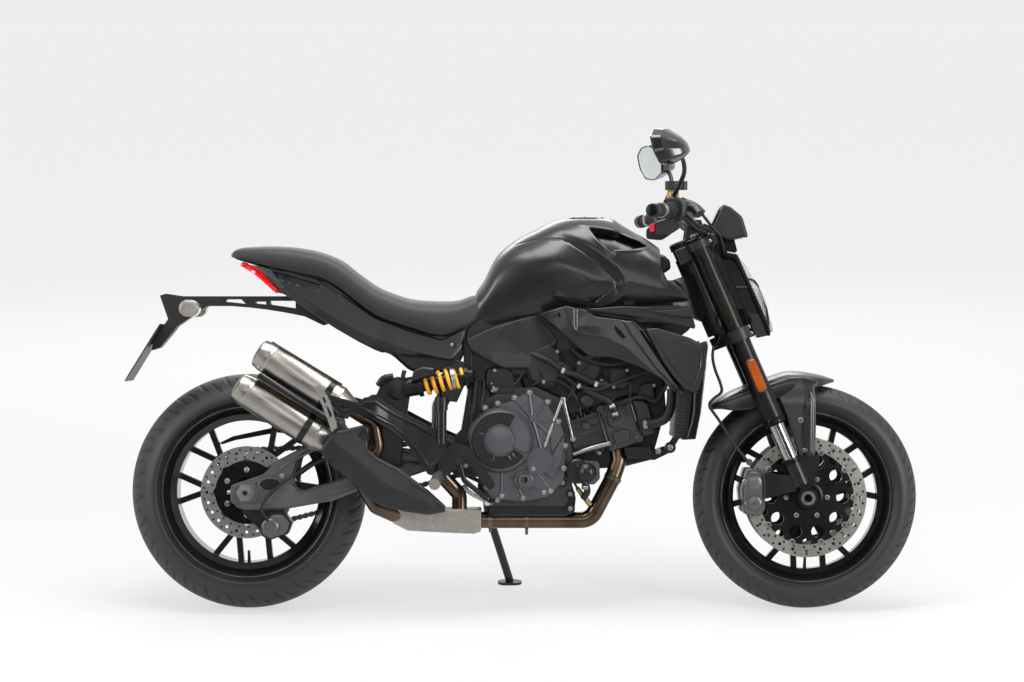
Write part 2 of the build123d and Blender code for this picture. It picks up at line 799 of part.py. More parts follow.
# The air box fills the frame under the tank, with the throttle bodies and intake ducts below it
# between the cylinders. It is closed in, so it is one plain block.
with BuildPart() as air_box:
    with BuildSketch(side(0)):
        add(
            polygon(
                [(645, 672), (735, 664), (766, 606), (848, 568), (861, 524), (926, 547), (1020, 579),
                 (1062, 582),
                 (1104, 604), (1112, 690), (1104, 740), (1070, 768), (1040, 811), (960, 807), (880, 805),
                 (790, 792),
                 (712, 768), (660, 753)]
            )
        )
    extrude(amount=FRAME_INNER_Y, both=True)
    add(rear_cylinder.part, mode=Mode.SUBTRACT)
    add(crankcase.part, mode=Mode.SUBTRACT)
    add(front_cylinder.part, mode=Mode.SUBTRACT)

with BuildPart() as front_sprocket_cover:
    with BuildSketch(side(122)):
        add(outline([(560, 350), (640, 345), (652, 420), (640, 470), (580, 470), (552, 410)], 16))
    extrude(amount=-6)
    with BuildSketch(side(98)):
        with Locations((632, 462), (640, 356)):
            Circle(7)
    extrude(amount=-26)

# ---------------------------------------------------------------- radiator and side fairings
with BuildPart() as radiator:
    with BuildSketch(side(0)):
        add(polygon([(1136, 462), (1168, 458), (1192, 690), (1160, 694)]))
    extrude(amount=165, both=True)
    with BuildSketch(side(0)):
        add(polygon([(1060, 600), (1150, 600), (1156, 650), (1090, 700), (1070, 745), (1050, 740)]))
    extrude(amount=20, both=True)
    add(main_frame.part, mode=Mode.SUBTRACT)
    add(air_box.part, mode=Mode.SUBTRACT)

with BuildPart() as radiator_shrouds:
    with BuildSketch(side(-165)):
        add(
            outline(
                [(1058, 748), (1087, 751), (1172, 727), (1201, 712), (1219, 719), (1223, 706), (1216, 647),
                 (1204, 530), (1189, 459), (1150, 457), (1166, 470), (1184, 522), (1184, 583), (1160, 592),
                 (1131, 624), (1102, 665)],
                8,
            )
        )
    extrude(amount=24)
    fillet(radiator_shrouds.faces().sort_by(Axis.Y)[0].edges(), 4)
    mirror(about=Plane.XZ)

with BuildPart() as side_wings:
    with BuildSketch(side(-165)):
        add(
            outline(
                [(779, 791), (847, 811), (900, 800), (926, 782), (993, 757), (1057, 748), (1101, 664),
                 (1130, 623),
                 (1158, 591), (1160, 573), (1143, 580), (1116, 598), (1102, 618), (1043, 650), (973, 675),
                 (914, 677), (897, 688)],
                8,
            )
        )
    extrude(amount=16)
    with BuildSketch(side(-FRAME_OUTER_Y)):
        with Locations((880, 730), (1030, 740)):
            Circle(11)
    extrude(amount=165 - FRAME_OUTER_Y)
    mirror(about=Plane.XZ)

# ---------------------------------------------------------------- tank
def tank_station(x, bottom, top, foot_half, belly_half):
    """One cross-section of the tank: flat bottom, bulging flanks, rounded crown."""
    height = top - bottom
    with BuildSketch(Plane.YZ.offset(x)) as station:
        with BuildLine():
            Spline(
                (foot_half, bottom),
                (belly_half, bottom + height * 0.42),
                (belly_half * 0.76, bottom + height * 0.84),
                (0, top),
                (-belly_half * 0.76, bottom + height * 0.84),
                (-belly_half, bottom + height * 0.42),
                (-foot_half, bottom),
            )
            Line((-foot_half, bottom), (foot_half, bottom))
        make_face()
    return station.sketch


TANK_STATIONS = [
    (608, 757, 846, 84, 92),
    (650, 760, 920, 96, 106),
    (710, 776, 980, 108, 124),
    (790, 800, 1016, 118, TANK_HALF_WIDTH - 16),
    (880, 812, 1037, 128, TANK_HALF_WIDTH),
    (960, 814, 1033, 130, TANK_HALF_WIDTH),
    (1030, 818, 1004, 120, TANK_HALF_WIDTH - 14),
    (1086, 870, 970, 96, 112),
]

with BuildPart() as fuel_tank:
    for tank_section in TANK_STATIONS:
        add(tank_station(*tank_section))
    loft()

FILLER = (900, 1030)
with BuildPart() as filler_ring:
    with BuildSketch(Plane.XY.offset(FILLER[1] - 12)):
        with Locations((FILLER[0], 0)):
            Circle(44)
            Circle(28, mode=Mode.SUBTRACT)
    extrude(amount=24)
    with BuildSketch(side(0)):
        with Locations((FILLER[0] + 48, FILLER[1] + 14)):
            Circle(6)
            Rectangle(12, 20, align=(Align.CENTER, Align.MAX))
    extrude(amount=18, both=True)
    with BuildSketch(side(0)):
        with Locations((FILLER[0] + 48, FILLER[1] + 15)):
            Rectangle(16, 12)
    extrude(amount=11, both=True, mode=Mode.SUBTRACT)
    with BuildSketch(side(0)):
        with Locations((FILLER[0] + 48, FILLER[1] + 14)):
            Circle(2.5)
    extrude(amount=18, both=True)

with BuildPart() as fuel_cap_lid:
    with BuildSketch(Plane.XY.offset(FILLER[1] + 12.3)):
        with Locations((FILLER[0], 0)):
            Circle(40)
    extrude(amount=7)
    fillet(fuel_cap_lid.edges().filter_by(GeomType.CIRCLE).group_by(Axis.Z)[-1], 3)
    with BuildSketch(side(0)):
        with Locations((FILLER[0] + 48, FILLER[1] + 14)):
            Circle(5)
        with Locations((FILLER[0] + 38, FILLER[1] + 15)):
            Rectangle(20, 5)
    extrude(amount=9, both=True)
    with BuildSketch(side(0)):
        with Locations((FILLER[0] + 48, FILLER[1] + 14)):
            Circle(2.5 + HUB_PLAY)
    extrude(amount=20, both=True, mode=Mode.SUBTRACT)

with BuildPart() as tank_front_panels:
    with BuildSketch(side(21 - TANK_HALF_WIDTH)):
        add(
            outline(
                [(978, 874), (1001, 866), (1060, 905), (1114, 905), (1160, 864), (1171, 826), (1170, 819),
                 (1130, 817), (951, 811), (930, 826), (962, 852)],
                5,
            )
        )
    extrude(amount=22)
    with BuildSketch(side(-60)):
        with Locations((1140, 845)):
            Circle(14)
    extrude(amount=TANK_HALF_WIDTH - 78)
    mirror(about=Plane.XZ)
    add(fuel_tank.part, mode=Mode.SUBTRACT)
    add(main_frame.part, mode=Mode.SUBTRACT)

with BuildPart() as lower_beaks:
    with BuildSketch(side(-147)):
        add(outline([(926, 778), (993, 751), (1060, 743), (1087, 745), (1172, 721), (1188, 750),
                     (1188, 762), (1087, 794),
                     (1000, 806), (950, 806)], 4))
    extrude(amount=18)
    mirror(about=Plane.XZ)

with BuildPart() as side_covers:
    with BuildSketch(side(-FRAME_OUTER_Y)):
        add(
            outline(
                [(584, 722), (649, 753), (771, 788), (800, 754), (829, 719), (821, 704), (783, 662),
                 (767, 646),
                 (683, 646), (645, 665), (599, 692)],
                6,
            )
        )
    extrude(amount=38)
    fillet(side_covers.faces().sort_by(Axis.Y)[0].edges(), 5)
    mirror(about=Plane.XZ)

# ---------------------------------------------------------------- seat and tail
def seat_station(x, bottom, top, foot_half, half):
    """One cross-section of the seat: flat base, rounded shoulders, almost flat top."""
    height = top - bottom
    with BuildSketch(Plane.YZ.offset(x)) as station:
        with BuildLine():
            Spline(
                (foot_half, bottom),
                (half, bottom + height * 0.45),
                (half * 0.78, bottom + height * 0.9),
                (0, top),
                (-half * 0.78, bottom + height * 0.9),
                (-half, bottom + height * 0.45),
                (-foot_half, bottom),
            )
            Line((-foot_half, bottom), (foot_half, bottom))
        make_face()
    return station.sketch


SHOCK_REAR = (398, 590)
SHOCK_FRONT = (618, 628)
SHOCK_Y = -126
SHOCK_DIRECTION = (SHOCK_FRONT[0] - SHOCK_REAR[0], 0, SHOCK_FRONT[1] - SHOCK_REAR[1])
SHOCK = Plane(origin=(SHOCK_REAR[0], SHOCK_Y, SHOCK_REAR[1]), x_dir=(0, 1, 0), z_dir=SHOCK_DIRECTION)

SEAT_STATIONS = [
    (-44, 945, 957, 62, 66),
    (0, 932, 968, 84, 90),
    (60, 914, 968, 98, 106),
    (140, 896, 963, 108, 117),
    (220, 877, 945, 114, 124),
    (290, 824, 900, 122, 134),
    (350, 781, 858, 128, SEAT_HALF_WIDTH),
    (430, 755, 829, 124, SEAT_HALF_WIDTH - 4),
    (505, 734, 823, 110, 124),
    (575, 753, 827, 92, 106),
    (640, 800, 818, 80, 84),
]

with BuildPart() as seat:
    for seat_section in SEAT_STATIONS:
        add(seat_station(*seat_section))
    loft()

with BuildPart() as tail_cowl:
    with BuildSketch(side(0)):
        add(
            outline(
                [(10, 921), (38, 903), (85, 846), (100, 842), (216, 765), (239, 750), (300, 715), (346, 692),
                 (388, 681), (430, 642), (450, 636), (526, 636), (547, 646), (569, 658), (577, 727),
                 (604, 764),
                 (560, 780), (440, 790), (300, 860), (150, 915), (60, 935), (10, 940)],
                4,
            )
        )
    extrude(amount=130, both=True)
    with BuildSketch(Plane.XY.offset(600)):
        add(outline([(0, -72), (90, -88), (250, -104), (380, -118), (480, -112), (640, -96), (640, 96),
                     (480, 112),
                     (380, 118), (250, 104), (90, 88), (0, 72)], 30))
    extrude(amount=400, mode=Mode.INTERSECT)
    with BuildSketch(SHOCK):
        Circle(38)
    extrude(amount=260, mode=Mode.SUBTRACT)
    add(seat.part, mode=Mode.SUBTRACT)
    add(main_frame.part, mode=Mode.SUBTRACT)

with BuildPart() as airbox_covers:
    add(side_covers.part)
    add(tail_cowl.part, mode=Mode.SUBTRACT)

with BuildPart() as tail_light:
    with BuildSketch(side(0)):
        add(polygon([(-22, 921), (10, 921), (38, 903), (85, 846), (76, 846), (24, 893)]))
    extrude(amount=64, both=True)
    add(tail_cowl.part, mode=Mode.SUBTRACT)
    add(seat.part, mode=Mode.SUBTRACT)

with BuildPart() as plate_hanger:
    with BuildSketch(side(0)):
        add(
            polygon(
                [(-238, 840), (-221, 845), (-175, 838), (100, 838), (104, 839), (214, 765), (200, 760),
                 (150, 784),
                 (100, 794), (50, 802), (0, 808), (-50, 812), (-110, 812), (-160, 779), (-191, 758),
                 (-207, 737),
                 (-238, 700), (-260, 693), (-257, 711), (-229, 758), (-216, 777)]
            )
        )
        add(polygon([(-66, 824), (-8, 818), (-20, 830), (-60, 830)]), mode=Mode.SUBTRACT)
        add(polygon([(18, 824), (47, 824), (47, 816), (18, 819)]), mode=Mode.SUBTRACT)
        add(polygon([(55, 826), (126, 826), (126, 806), (58, 816)]), mode=Mode.SUBTRACT)
    extrude(amount=32, both=True)
    with BuildSketch(side(0)):
        with Locations((-155, 806)):
            Circle(9)
    extrude(amount=66, both=True)
    add(tail_cowl.part, mode=Mode.SUBTRACT)

with BuildPart() as rear_turn_signals:
    with BuildSketch(side(-66)):
        with Locations((-150, 805)):
            SlotOverall(54, 44)
    extrude(amount=76)
    fillet(rear_turn_signals.edges().filter_by(GeomType.CIRCLE), 9)
    mirror(about=Plane.XZ)

with BuildPart() as licence_plate:
    with BuildSketch(side(0)):
        add(polygon([(-232, 764), (-326, 612), (-323.5, 610.5), (-229.5, 762.5)]))
    extrude(amount=90, both=True)
    with BuildSketch(side(0)):
        add(polygon([(-240, 749), (-266, 706), (-258, 711), (-231, 754)]))
    extrude(amount=26, both=True)
    add(plate_hanger.part, mode=Mode.SUBTRACT)

# ---------------------------------------------------------------- swingarm, shock, chain
def with_axle(points):
    """Points behind the swingarm's brace move with the rear axle; the others stay with the pivot."""
    return [(x + REAR_AXLE_X, other) if x < 150 else (x, other) for x, other in points]


with BuildPart() as swingarm:
    with BuildSketch(side(0)):
        add(
            outline(
                with_axle(
                    [(-42, 334), (-28, 340), (46, 364), (83, 401), (138, 430), (194, 449), (330, 436),
                     (480, 420),
                     (552, 432), (584, 420), (584, 396), (560, 386), (480, 372), (400, 345), (304, 323),
                     (231, 294),
                     (105, 272), (-5, 270), (-31, 279)]
                ),
                10,
            )
        )
        add(
            polygon(with_axle([(120, 375), (142, 388), (176, 412), (190, 408), (200, 356), (150, 330)])),
            mode=Mode.SUBTRACT,
        )
    extrude(amount=126)
    with BuildSketch(Plane.XY.offset(200)):
        add(
            polygon(
                with_axle(
                    [(-60, -126), (330, -126), (470, -78), (600, -78), (600, 0), (345, 0), (345, -70),
                     (320, -103),
                     (-60, -103)]
                )
            )
        )
    extrude(amount=400, mode=Mode.INTERSECT)
    with BuildSketch(side(-106)):
        add(outline([(330, 400), (352, 560), (372, 606), (412, 604), (424, 570), (400, 400)], 10))
    extrude(amount=20)
    with BuildSketch(side(0)):
        add(
            polygon(
                [(345, 350), (345, 412), (480, 416), (552, 428), (584, 420), (584, 396), (560, 386),
                 (480, 372),
                 (400, 345)]
            )
        )
    extrude(amount=-78)
    with BuildSketch(side(0)):
        add(
            outline(
                with_axle(
                    [(-42, 334), (-28, 344), (60, 352), (200, 372), (330, 404), (480, 416), (500, 374),
                     (400, 345),
                     (304, 330), (105, 288), (-5, 280), (-31, 284)]
                ),
                8,
            )
        )
    extrude(amount=-152)
    with BuildSketch(Plane.XY.offset(200)):
        add(
            polygon(
                with_axle(
                    [(-60, -140), (440, -140), (470, -78), (600, -78), (600, 78), (510, 78), (340, 152),
                     (-60, 152),
                     (-60, 122), (320, 122), (345, 70), (345, -70), (320, -103), (-60, -103)]
                )
            )
        )
    extrude(amount=500, mode=Mode.INTERSECT)
    with BuildSketch(wheel_plane(REAR_AXLE)):
        Circle(REAR_AXLE_R)
    extrude(amount=200, both=True, mode=Mode.SUBTRACT)

with BuildPart() as rear_axle:
    with BuildSketch(wheel_plane(REAR_AXLE, -152)):
        Circle(REAR_AXLE_R)
    extrude(amount=-326)
    with BuildSketch(wheel_plane(REAR_AXLE, -126)):
        RegularPolygon(25, 6)
    extrude(amount=18)
    with BuildSketch(wheel_plane(REAR_AXLE, 152)):
        RegularPolygon(22, 6)
    extrude(amount=-16)
    with BuildSketch(wheel_plane(REAR_AXLE, -103)):
        Circle(19)
    extrude(amount=-13)
    with BuildSketch(wheel_plane(REAR_AXLE, 122)):
        Circle(19)
    extrude(amount=10)
    with BuildSketch(wheel_plane(REAR_AXLE)):
        Circle(7)
    extrude(amount=220, both=True, mode=Mode.SUBTRACT)

with BuildPart() as shock_absorber:
    for start, end, radius in ((24, 60, 26), (60, 72, 31), (72, 186, 19), (186, 196, 31), (196, 208, 22)):
        with BuildSketch(SHOCK.offset(start)):
            Circle(radius)
        extrude(amount=end - start)
    with BuildSketch(side(SHOCK_Y + 12)):
        with Locations((SHOCK_FRONT[0] + 2, SHOCK_FRONT[1])):
            Circle(15)
    extrude(amount=24)
    with BuildSketch(side(-FRAME_OUTER_Y)):
        with Locations((SHOCK_FRONT[0] + 2, SHOCK_FRONT[1])):
            Circle(9)
    extrude(amount=44)
    add(swingarm.part, mode=Mode.SUBTRACT)

with BuildPart() as shock_spring:
    with BuildLine() as coil:
        Helix(
            pitch=20,
            height=104,
            radius=26,
            center=SHOCK.from_local_coords((0, 0, 77)),
            direction=SHOCK_DIRECTION,
        )
    with BuildSketch(Plane(origin=coil.line @ 0, z_dir=coil.line % 0)):
        Circle(5)
    sweep(path=coil.line, is_frenet=True)

CHAIN_FRONT = (612, 405)
CHAIN_FRONT_R = 34
CHAIN_REAR_R = SPROCKET_R + 5.5


def chain_loop(rear_r, front_r):
    """Closed loop round both sprockets: two arcs and the two lines touching both."""
    rise = CHAIN_FRONT[1] - REAR_AXLE_Z
    reach = CHAIN_FRONT[0] - REAR_AXLE_X
    tilt = degrees(atan2(rise, reach))
    spread = degrees(acos((rear_r - front_r) / (rise**2 + reach**2) ** 0.5))
    with BuildSketch() as loop:
        with BuildLine():
            rear_arc = CenterArc((REAR_AXLE_X, REAR_AXLE_Z), rear_r, tilt + spread, 360 - 2 * spread)
            front_arc = CenterArc(CHAIN_FRONT, front_r, tilt - spread, 2 * spread)
            Line(rear_arc @ 1, front_arc @ 0)
            Line(front_arc @ 1, rear_arc @ 0)
        make_face()
    return loop.sketch


with BuildPart() as drive_chain:
    with BuildSketch(side(CHAIN_Y + 7)):
        add(chain_loop(CHAIN_REAR_R + 8, CHAIN_FRONT_R + 8))
        add(chain_loop(CHAIN_REAR_R, CHAIN_FRONT_R), mode=Mode.SUBTRACT)
    extrude(amount=14)
    with BuildSketch(side(CHAIN_Y + 4)):
        with Locations(CHAIN_FRONT):
            Circle(CHAIN_FRONT_R)
    extrude(amount=8)
    with BuildSketch(side(98)):
        with Locations(CHAIN_FRONT):
            Circle(14)
    extrude(amount=-12)
    add(swingarm.part, mode=Mode.SUBTRACT)

with BuildPart() as chain_guard:
    with BuildSketch(side(120)):
        add(
            outline(
                with_axle(
                    [(-86, 440), (-60, 470), (65, 480), (330, 462), (330, 448), (65, 462), (-50, 452),
                     (-70, 430)]
                ),
                4,
            )
        )
    extrude(amount=24)
    with BuildSketch(side(128)):
        add(outline([(180, 362), (206, 362), (216, 470), (186, 472)], 3))
    extrude(amount=8)
    add(swingarm.part, mode=Mode.SUBTRACT)

with BuildPart() as rear_caliper:
    with BuildSketch(side(-72)):
        add(outline(with_axle([(44, 200), (64, 190), (112, 206), (124, 236), (104, 262), (60, 262),
                               (36, 226)]), 7))
    extrude(amount=54)
    with BuildSketch(wheel_plane(REAR_AXLE, REAR_DISC_Y)):
        Circle(128)
    extrude(amount=8, both=True, mode=Mode.SUBTRACT)
    with BuildSketch(side(-104)):
        add(outline(with_axle([(-24, 300), (-10, 262), (40, 214), (70, 224), (104, 250), (100, 274),
                               (20, 290)]), 6))
    extrude(amount=10)
    with BuildSketch(side(-126)):
        with Locations((REAR_AXLE_X + 65, 225)):
            Circle(21)
    extrude(amount=6)
    add(swingarm.part, mode=Mode.SUBTRACT)
    add(rear_axle.part, mode=Mode.SUBTRACT)

# ---------------------------------------------------------------- exhaust
# Both silencers lie parallel, pointing down towards the front; along_pipe runs forward.
PIPE_Y = -158
SILENCER_R = 42
PIPE_TILT = 31.9
PIPE_COS = cos(radians(PIPE_TILT))
PIPE_SIN = sin(radians(PIPE_TILT))


def silencer_point(height, along_pipe):
    """Point on a silencer's axis: height is its distance from the rear axle's level line."""
    return (
        height * PIPE_SIN + along_pipe * PIPE_COS,
        PIPE_Y,
        height * PIPE_COS - along_pipe * PIPE_SIN,
    )


def silencer(height):
    """One silencer: capped rear end with its outlet, barrel, and cone at the front."""
    rear = Plane(origin=silencer_point(height, -337), x_dir=(0, 1, 0), z_dir=(PIPE_COS, 0, -PIPE_SIN))
    with BuildPart() as can:
        with BuildSketch(rear.offset(24)):
            Circle(SILENCER_R)
        extrude(amount=224)
        with BuildSketch(rear.offset(248)):
            Circle(SILENCER_R)
        with BuildSketch(rear.offset(297)):
            Circle(23)
        loft()
        with BuildSketch(rear):
            Circle(31)
        with BuildSketch(rear.offset(24)):
            Circle(SILENCER_R)
        loft()
        with BuildSketch(rear):
            Circle(20)
        extrude(amount=90, mode=Mode.SUBTRACT)
    return can.part


with BuildPart() as upper_silencer:
    add(silencer(604))

with BuildPart() as lower_silencer:
    add(silencer(499))

with BuildPart() as exhaust_headers:
    add(pipe([(985, -44, 446), (992, -52, 400), (975, -60, 352), (916, -60, 240), (624, -60, 240)], 42, 22))
    add(pipe([(612, -30, 636), (540, -36, 600), (512, -60, 545), (512, -116, 470), (512, -118, 370),
              (566, -100, 310),
              (566, -100, 272)], 24, 20))
    add(front_cylinder.part, mode=Mode.SUBTRACT)
    add(rear_cylinder.part, mode=Mode.SUBTRACT)

with BuildPart() as exhaust_collector:
    with BuildSketch(side(10)):
        add(outline([(379, 272), (380, 251), (392, 234), (430, 215), (545, 209), (606, 207), (624, 213),
                     (624, 272)], 6))
    extrude(amount=140)
    chamfer(exhaust_collector.faces().sort_by(Axis.Y)[0].edges(), 4)
    chamfer(exhaust_collector.faces().sort_by(Axis.Y)[-1].edges(), 4)

with BuildPart() as exhaust_link_pipe:
    add(
        pipe(
            [(420, -100, 244), (346, -150, 280), (292, PIPE_Y - 2, 376), silencer_point(499, -16),
             silencer_point(499, -44)],
            16,
            20,
        )
    )
    add(pipe([(300, PIPE_Y, 372), (352, PIPE_Y, 436), silencer_point(604, 26), silencer_point(604, -44)],
             22, 18))
    add(exhaust_collector.part, mode=Mode.SUBTRACT)
    add(lower_silencer.part, mode=Mode.SUBTRACT)
    add(upper_silencer.part, mode=Mode.SUBTRACT)

with BuildPart() as exhaust_shield:
    with BuildSketch(side(-194)):
        add(
            outline(
                [(235, 480), (201, 430), (216, 404), (258, 370), (300, 335), (323, 308), (361, 285),
                 (422, 270),
                 (487, 261), (529, 270), (529, 285), (487, 324), (461, 343), (411, 381), (354, 411),
                 (327, 434),
                 (331, 495), (316, 497), (251, 484)],
                8,
            )
        )
    extrude(amount=7)
    fillet(exhaust_shield.faces().sort_by(Axis.Y)[0].edges(), 2)
    with BuildSketch(side(-130)):
        with Locations((470, 262)):
            Circle(8)
    extrude(amount=64)
    with BuildSketch(side(PIPE_Y)):
        with Locations((270, 410)):
            Circle(8)
    extrude(amount=36)
    add(exhaust_link_pipe.part, mode=Mode.SUBTRACT)
    add(exhaust_collector.part, mode=Mode.SUBTRACT)
    add(lower_silencer.part, mode=Mode.SUBTRACT)

# ---------------------------------------------------------------- footrests and pedals
with BuildPart() as rider_foot_plates:
    with BuildSketch(side(-150)):
        add(
            outline(
                [(548, 452), (534, 430), (512, 396), (503, 358), (520, 352), (583, 396), (604, 378),
                 (645, 322), (664, 336),
                 (618, 402), (590, 440)],
                8,
            )
        )
    extrude(amount=9)
    with BuildSketch(side(-FRAME_OUTER_Y)):
        with Locations((552, 404)):
            Circle(12)
    extrude(amount=150 - FRAME_OUTER_Y)
    mirror(about=Plane.XZ)
    add(front_sprocket_cover.part, mode=Mode.SUBTRACT)
    add(drive_chain.part, mode=Mode.SUBTRACT)

with BuildPart() as rider_footpegs:
    with BuildSketch(side(-159)):
        with Locations((512, 362)):
            Circle(13)
    extrude(amount=16)
    with BuildSketch(Plane(origin=(511, -175, 360), x_dir=(1, 0, 0), z_dir=(-0.08, -1, -0.18))):
        Circle(15)
    extrude(amount=92)
    mirror(about=Plane.XZ)

with BuildPart() as passenger_hangers:
    with BuildSketch(side(-150)):
        add(
            outline(
                [(220, 579), (300, 556), (319, 570), (354, 572), (400, 539), (468, 503), (506, 484),
                 (556, 462), (556, 440),
                 (520, 440), (497, 362), (484, 366), (426, 450), (388, 484), (300, 534), (262, 518),
                 (232, 550)],
                7,
            )
        )
        add(outline([(452, 470), (510, 456), (496, 404)], 6), mode=Mode.SUBTRACT)
    extrude(amount=66)
    with BuildSketch(Plane.XY.offset(300)):
        add(
            polygon(
                [(600, -168), (420, -168), (300, -213), (180, -213), (180, -204), (298, -204), (416, -159),
                 (600, -159)]
            )
        )
    extrude(amount=400, mode=Mode.INTERSECT)
    mirror(about=Plane.XZ)

with BuildPart() as passenger_footpegs:
    with BuildSketch(side(-213)):
        add(outline([(188, 598), (206, 604), (230, 560), (248, 490), (234, 482), (212, 540)], 5))
        with Locations((222, 545)):
            SlotOverall(56, 6, rotation=-68, mode=Mode.SUBTRACT)
    extrude(amount=18)
    mirror(about=Plane.XZ)

with BuildPart() as brake_pedal:
    add(pipe([(566, -172, 400), (580, -172, 350), (648, -180, 296), (668, -214, 300)], 16, 7))
    with BuildSketch(side(-159)):
        with Locations((566, 402)):
            Circle(12)
    extrude(amount=20)
    add(rider_footpegs.part, mode=Mode.SUBTRACT)

with BuildPart() as gear_lever:
    add(pipe([(566, 172, 400), (582, 172, 350), (660, 176, 312), (680, 214, 316)], 16, 6))
    with BuildSketch(side(179)):
        with Locations((566, 402)):
            Circle(12)
    extrude(amount=20)
    add(rider_footpegs.part, mode=Mode.SUBTRACT)

with BuildPart() as rear_master_cylinder:
    with BuildSketch(Plane.XY.offset(446)):
        with Locations((520, -181)):
            Circle(13)
    extrude(amount=90)
    with BuildSketch(Plane.XY.offset(536)):
        with Locations((520, -181)):
            Circle(17)
    extrude(amount=34)

# ---------------------------------------------------------------- side stand
STAND_PIVOT = (636, 118, 300)
STAND_FOOT_X = 700
STAND_FOOT_Y = 262
STAND_FOOT = (STAND_FOOT_X, STAND_FOOT_Y, STAND_FOOT_Y * ROAD_SLOPE)
STAND_AXIS = (-0.181, 0.965, 0.190)
STAND = Plane(origin=STAND_PIVOT, x_dir=(0.965, 0.181, 0), z_dir=STAND_AXIS)
ROAD = Plane(origin=STAND_FOOT, x_dir=(1, 0, 0), z_dir=(0, -sin(radians(LEAN)), cos(radians(LEAN))))

with BuildPart() as side_stand_bracket:
    with BuildSketch(STAND.offset(-8)):
        Circle(17)
    extrude(amount=-7)
    with BuildSketch(side(98)):
        add(outline([(616, 284), (664, 284), (672, 330), (640, 352), (612, 330)], 8))
    extrude(amount=-8)
    with BuildSketch(STAND.offset(-22)):
        Circle(8)
    extrude(amount=42)
    with BuildSketch(STAND.offset(15)):
        Circle(13)
    extrude(amount=6)
    add(generator_cover.part, mode=Mode.SUBTRACT)
    add(front_sprocket_cover.part, mode=Mode.SUBTRACT)
    add(crankcase.part, mode=Mode.SUBTRACT)

with BuildPart() as side_stand:
    add(pipe([STAND_PIVOT, (640, 146, 250), (STAND_FOOT[0], STAND_FOOT[1], STAND_FOOT[2] + 8)], 20, 11))
    with BuildSketch(STAND.offset(-6)):
        Circle(17)
    extrude(amount=19)
    with BuildSketch(STAND.offset(-30)):
        Circle(26)
    extrude(amount=24, mode=Mode.SUBTRACT)
    with BuildSketch(STAND.offset(13)):
        Circle(16)
    extrude(amount=20, mode=Mode.SUBTRACT)
    with BuildSketch(ROAD):
        SlotOverall(66, 44)
    extrude(amount=7)
    with BuildSketch(ROAD.offset(-40)):
        Rectangle(160, 160)
    extrude(amount=40, mode=Mode.SUBTRACT)
    with BuildSketch(STAND.offset(-40)):
        Circle(8 + HUB_PLAY)
    extrude(amount=80, mode=Mode.SUBTRACT)

# ---------------------------------------------------------------- hoses
with BuildPart() as front_brake_hoses:
    add(pipe([(1198, -214, 1060), (1262, -196, 1010), (1282, -150, 900), (1278, -96, 693), (1228, -94, 620),
              (1232, -96, 545), (1300, -96, 440), (1348, -92, 380)], 24, 4.5))
    add(fork_outer_tubes.part, mode=Mode.SUBTRACT)
    add(lower_yoke.part, mode=Mode.SUBTRACT)
    add(front_calipers.part, mode=Mode.SUBTRACT)
    add(control_levers.part, mode=Mode.SUBTRACT)
    add(front_fender.part, mode=Mode.SUBTRACT)

# The tank is cut round the filler, the seat's nose, the frame and the air box.
with BuildPart() as tank_shell:
    add(fuel_tank.part)
    with BuildSketch(Plane.XY.offset(FILLER[1] - 40)):
        with Locations((FILLER[0], 0)):
            Circle(28)
    extrude(amount=80, mode=Mode.SUBTRACT)
    with BuildSketch(Plane.XY.offset(FILLER[1] - 12)):
        with Locations((FILLER[0], 0)):
            Circle(44)
    extrude(amount=80, mode=Mode.SUBTRACT)
    add(filler_ring.part, mode=Mode.SUBTRACT)
    add(seat.part, mode=Mode.SUBTRACT)
    add(main_frame.part, mode=Mode.SUBTRACT)
    add(air_box.part, mode=Mode.SUBTRACT)

# ---------------------------------------------------------------- pieces joined by what carries them
with BuildPart() as front_wheel_rim:
    add(front_rim.part)
    add(front_disc_carriers.part)

with BuildPart() as fork_yokes:
    add(lower_yoke.part)
    add(upper_yoke.part)

with BuildPart() as headlight_housing:
    add(headlight_shell.part)
    add(headlight_bracket.part)

with BuildPart() as bar_controls:
    add(switch_housings.part)
    add(control_levers.part)
    add(brake_fluid_cup.part)

with BuildPart() as mirror_housings:
    add(mirror_shells.part)
    add(mirror_stems.part)

with BuildPart() as engine_covers:
    add(clutch_cover.part)
    add(generator_cover.part)
    add(front_sprocket_cover.part)
    add(water_pump.part)

with BuildPart() as cylinders:
    add(front_cylinder.part)
    add(rear_cylinder.part)

with BuildPart() as side_fairings:
    add(side_wings.part)
    add(lower_beaks.part)

with BuildPart() as silencers:
    add(upper_silencer.part)
    add(lower_silencer.part)

with BuildPart() as exhaust_pipes:
    add(exhaust_headers.part)
    add(exhaust_link_pipe.part)

with BuildPart() as footrest_brackets:
    add(rider_foot_plates.part)
    add(passenger_hangers.part)

with BuildPart() as footpegs:
    add(rider_footpegs.part)
    add(passenger_footpegs.part)

with BuildPart() as foot_controls:
    add(brake_pedal.part)
    add(gear_lever.part)
    add(rear_master_cylinder.part)

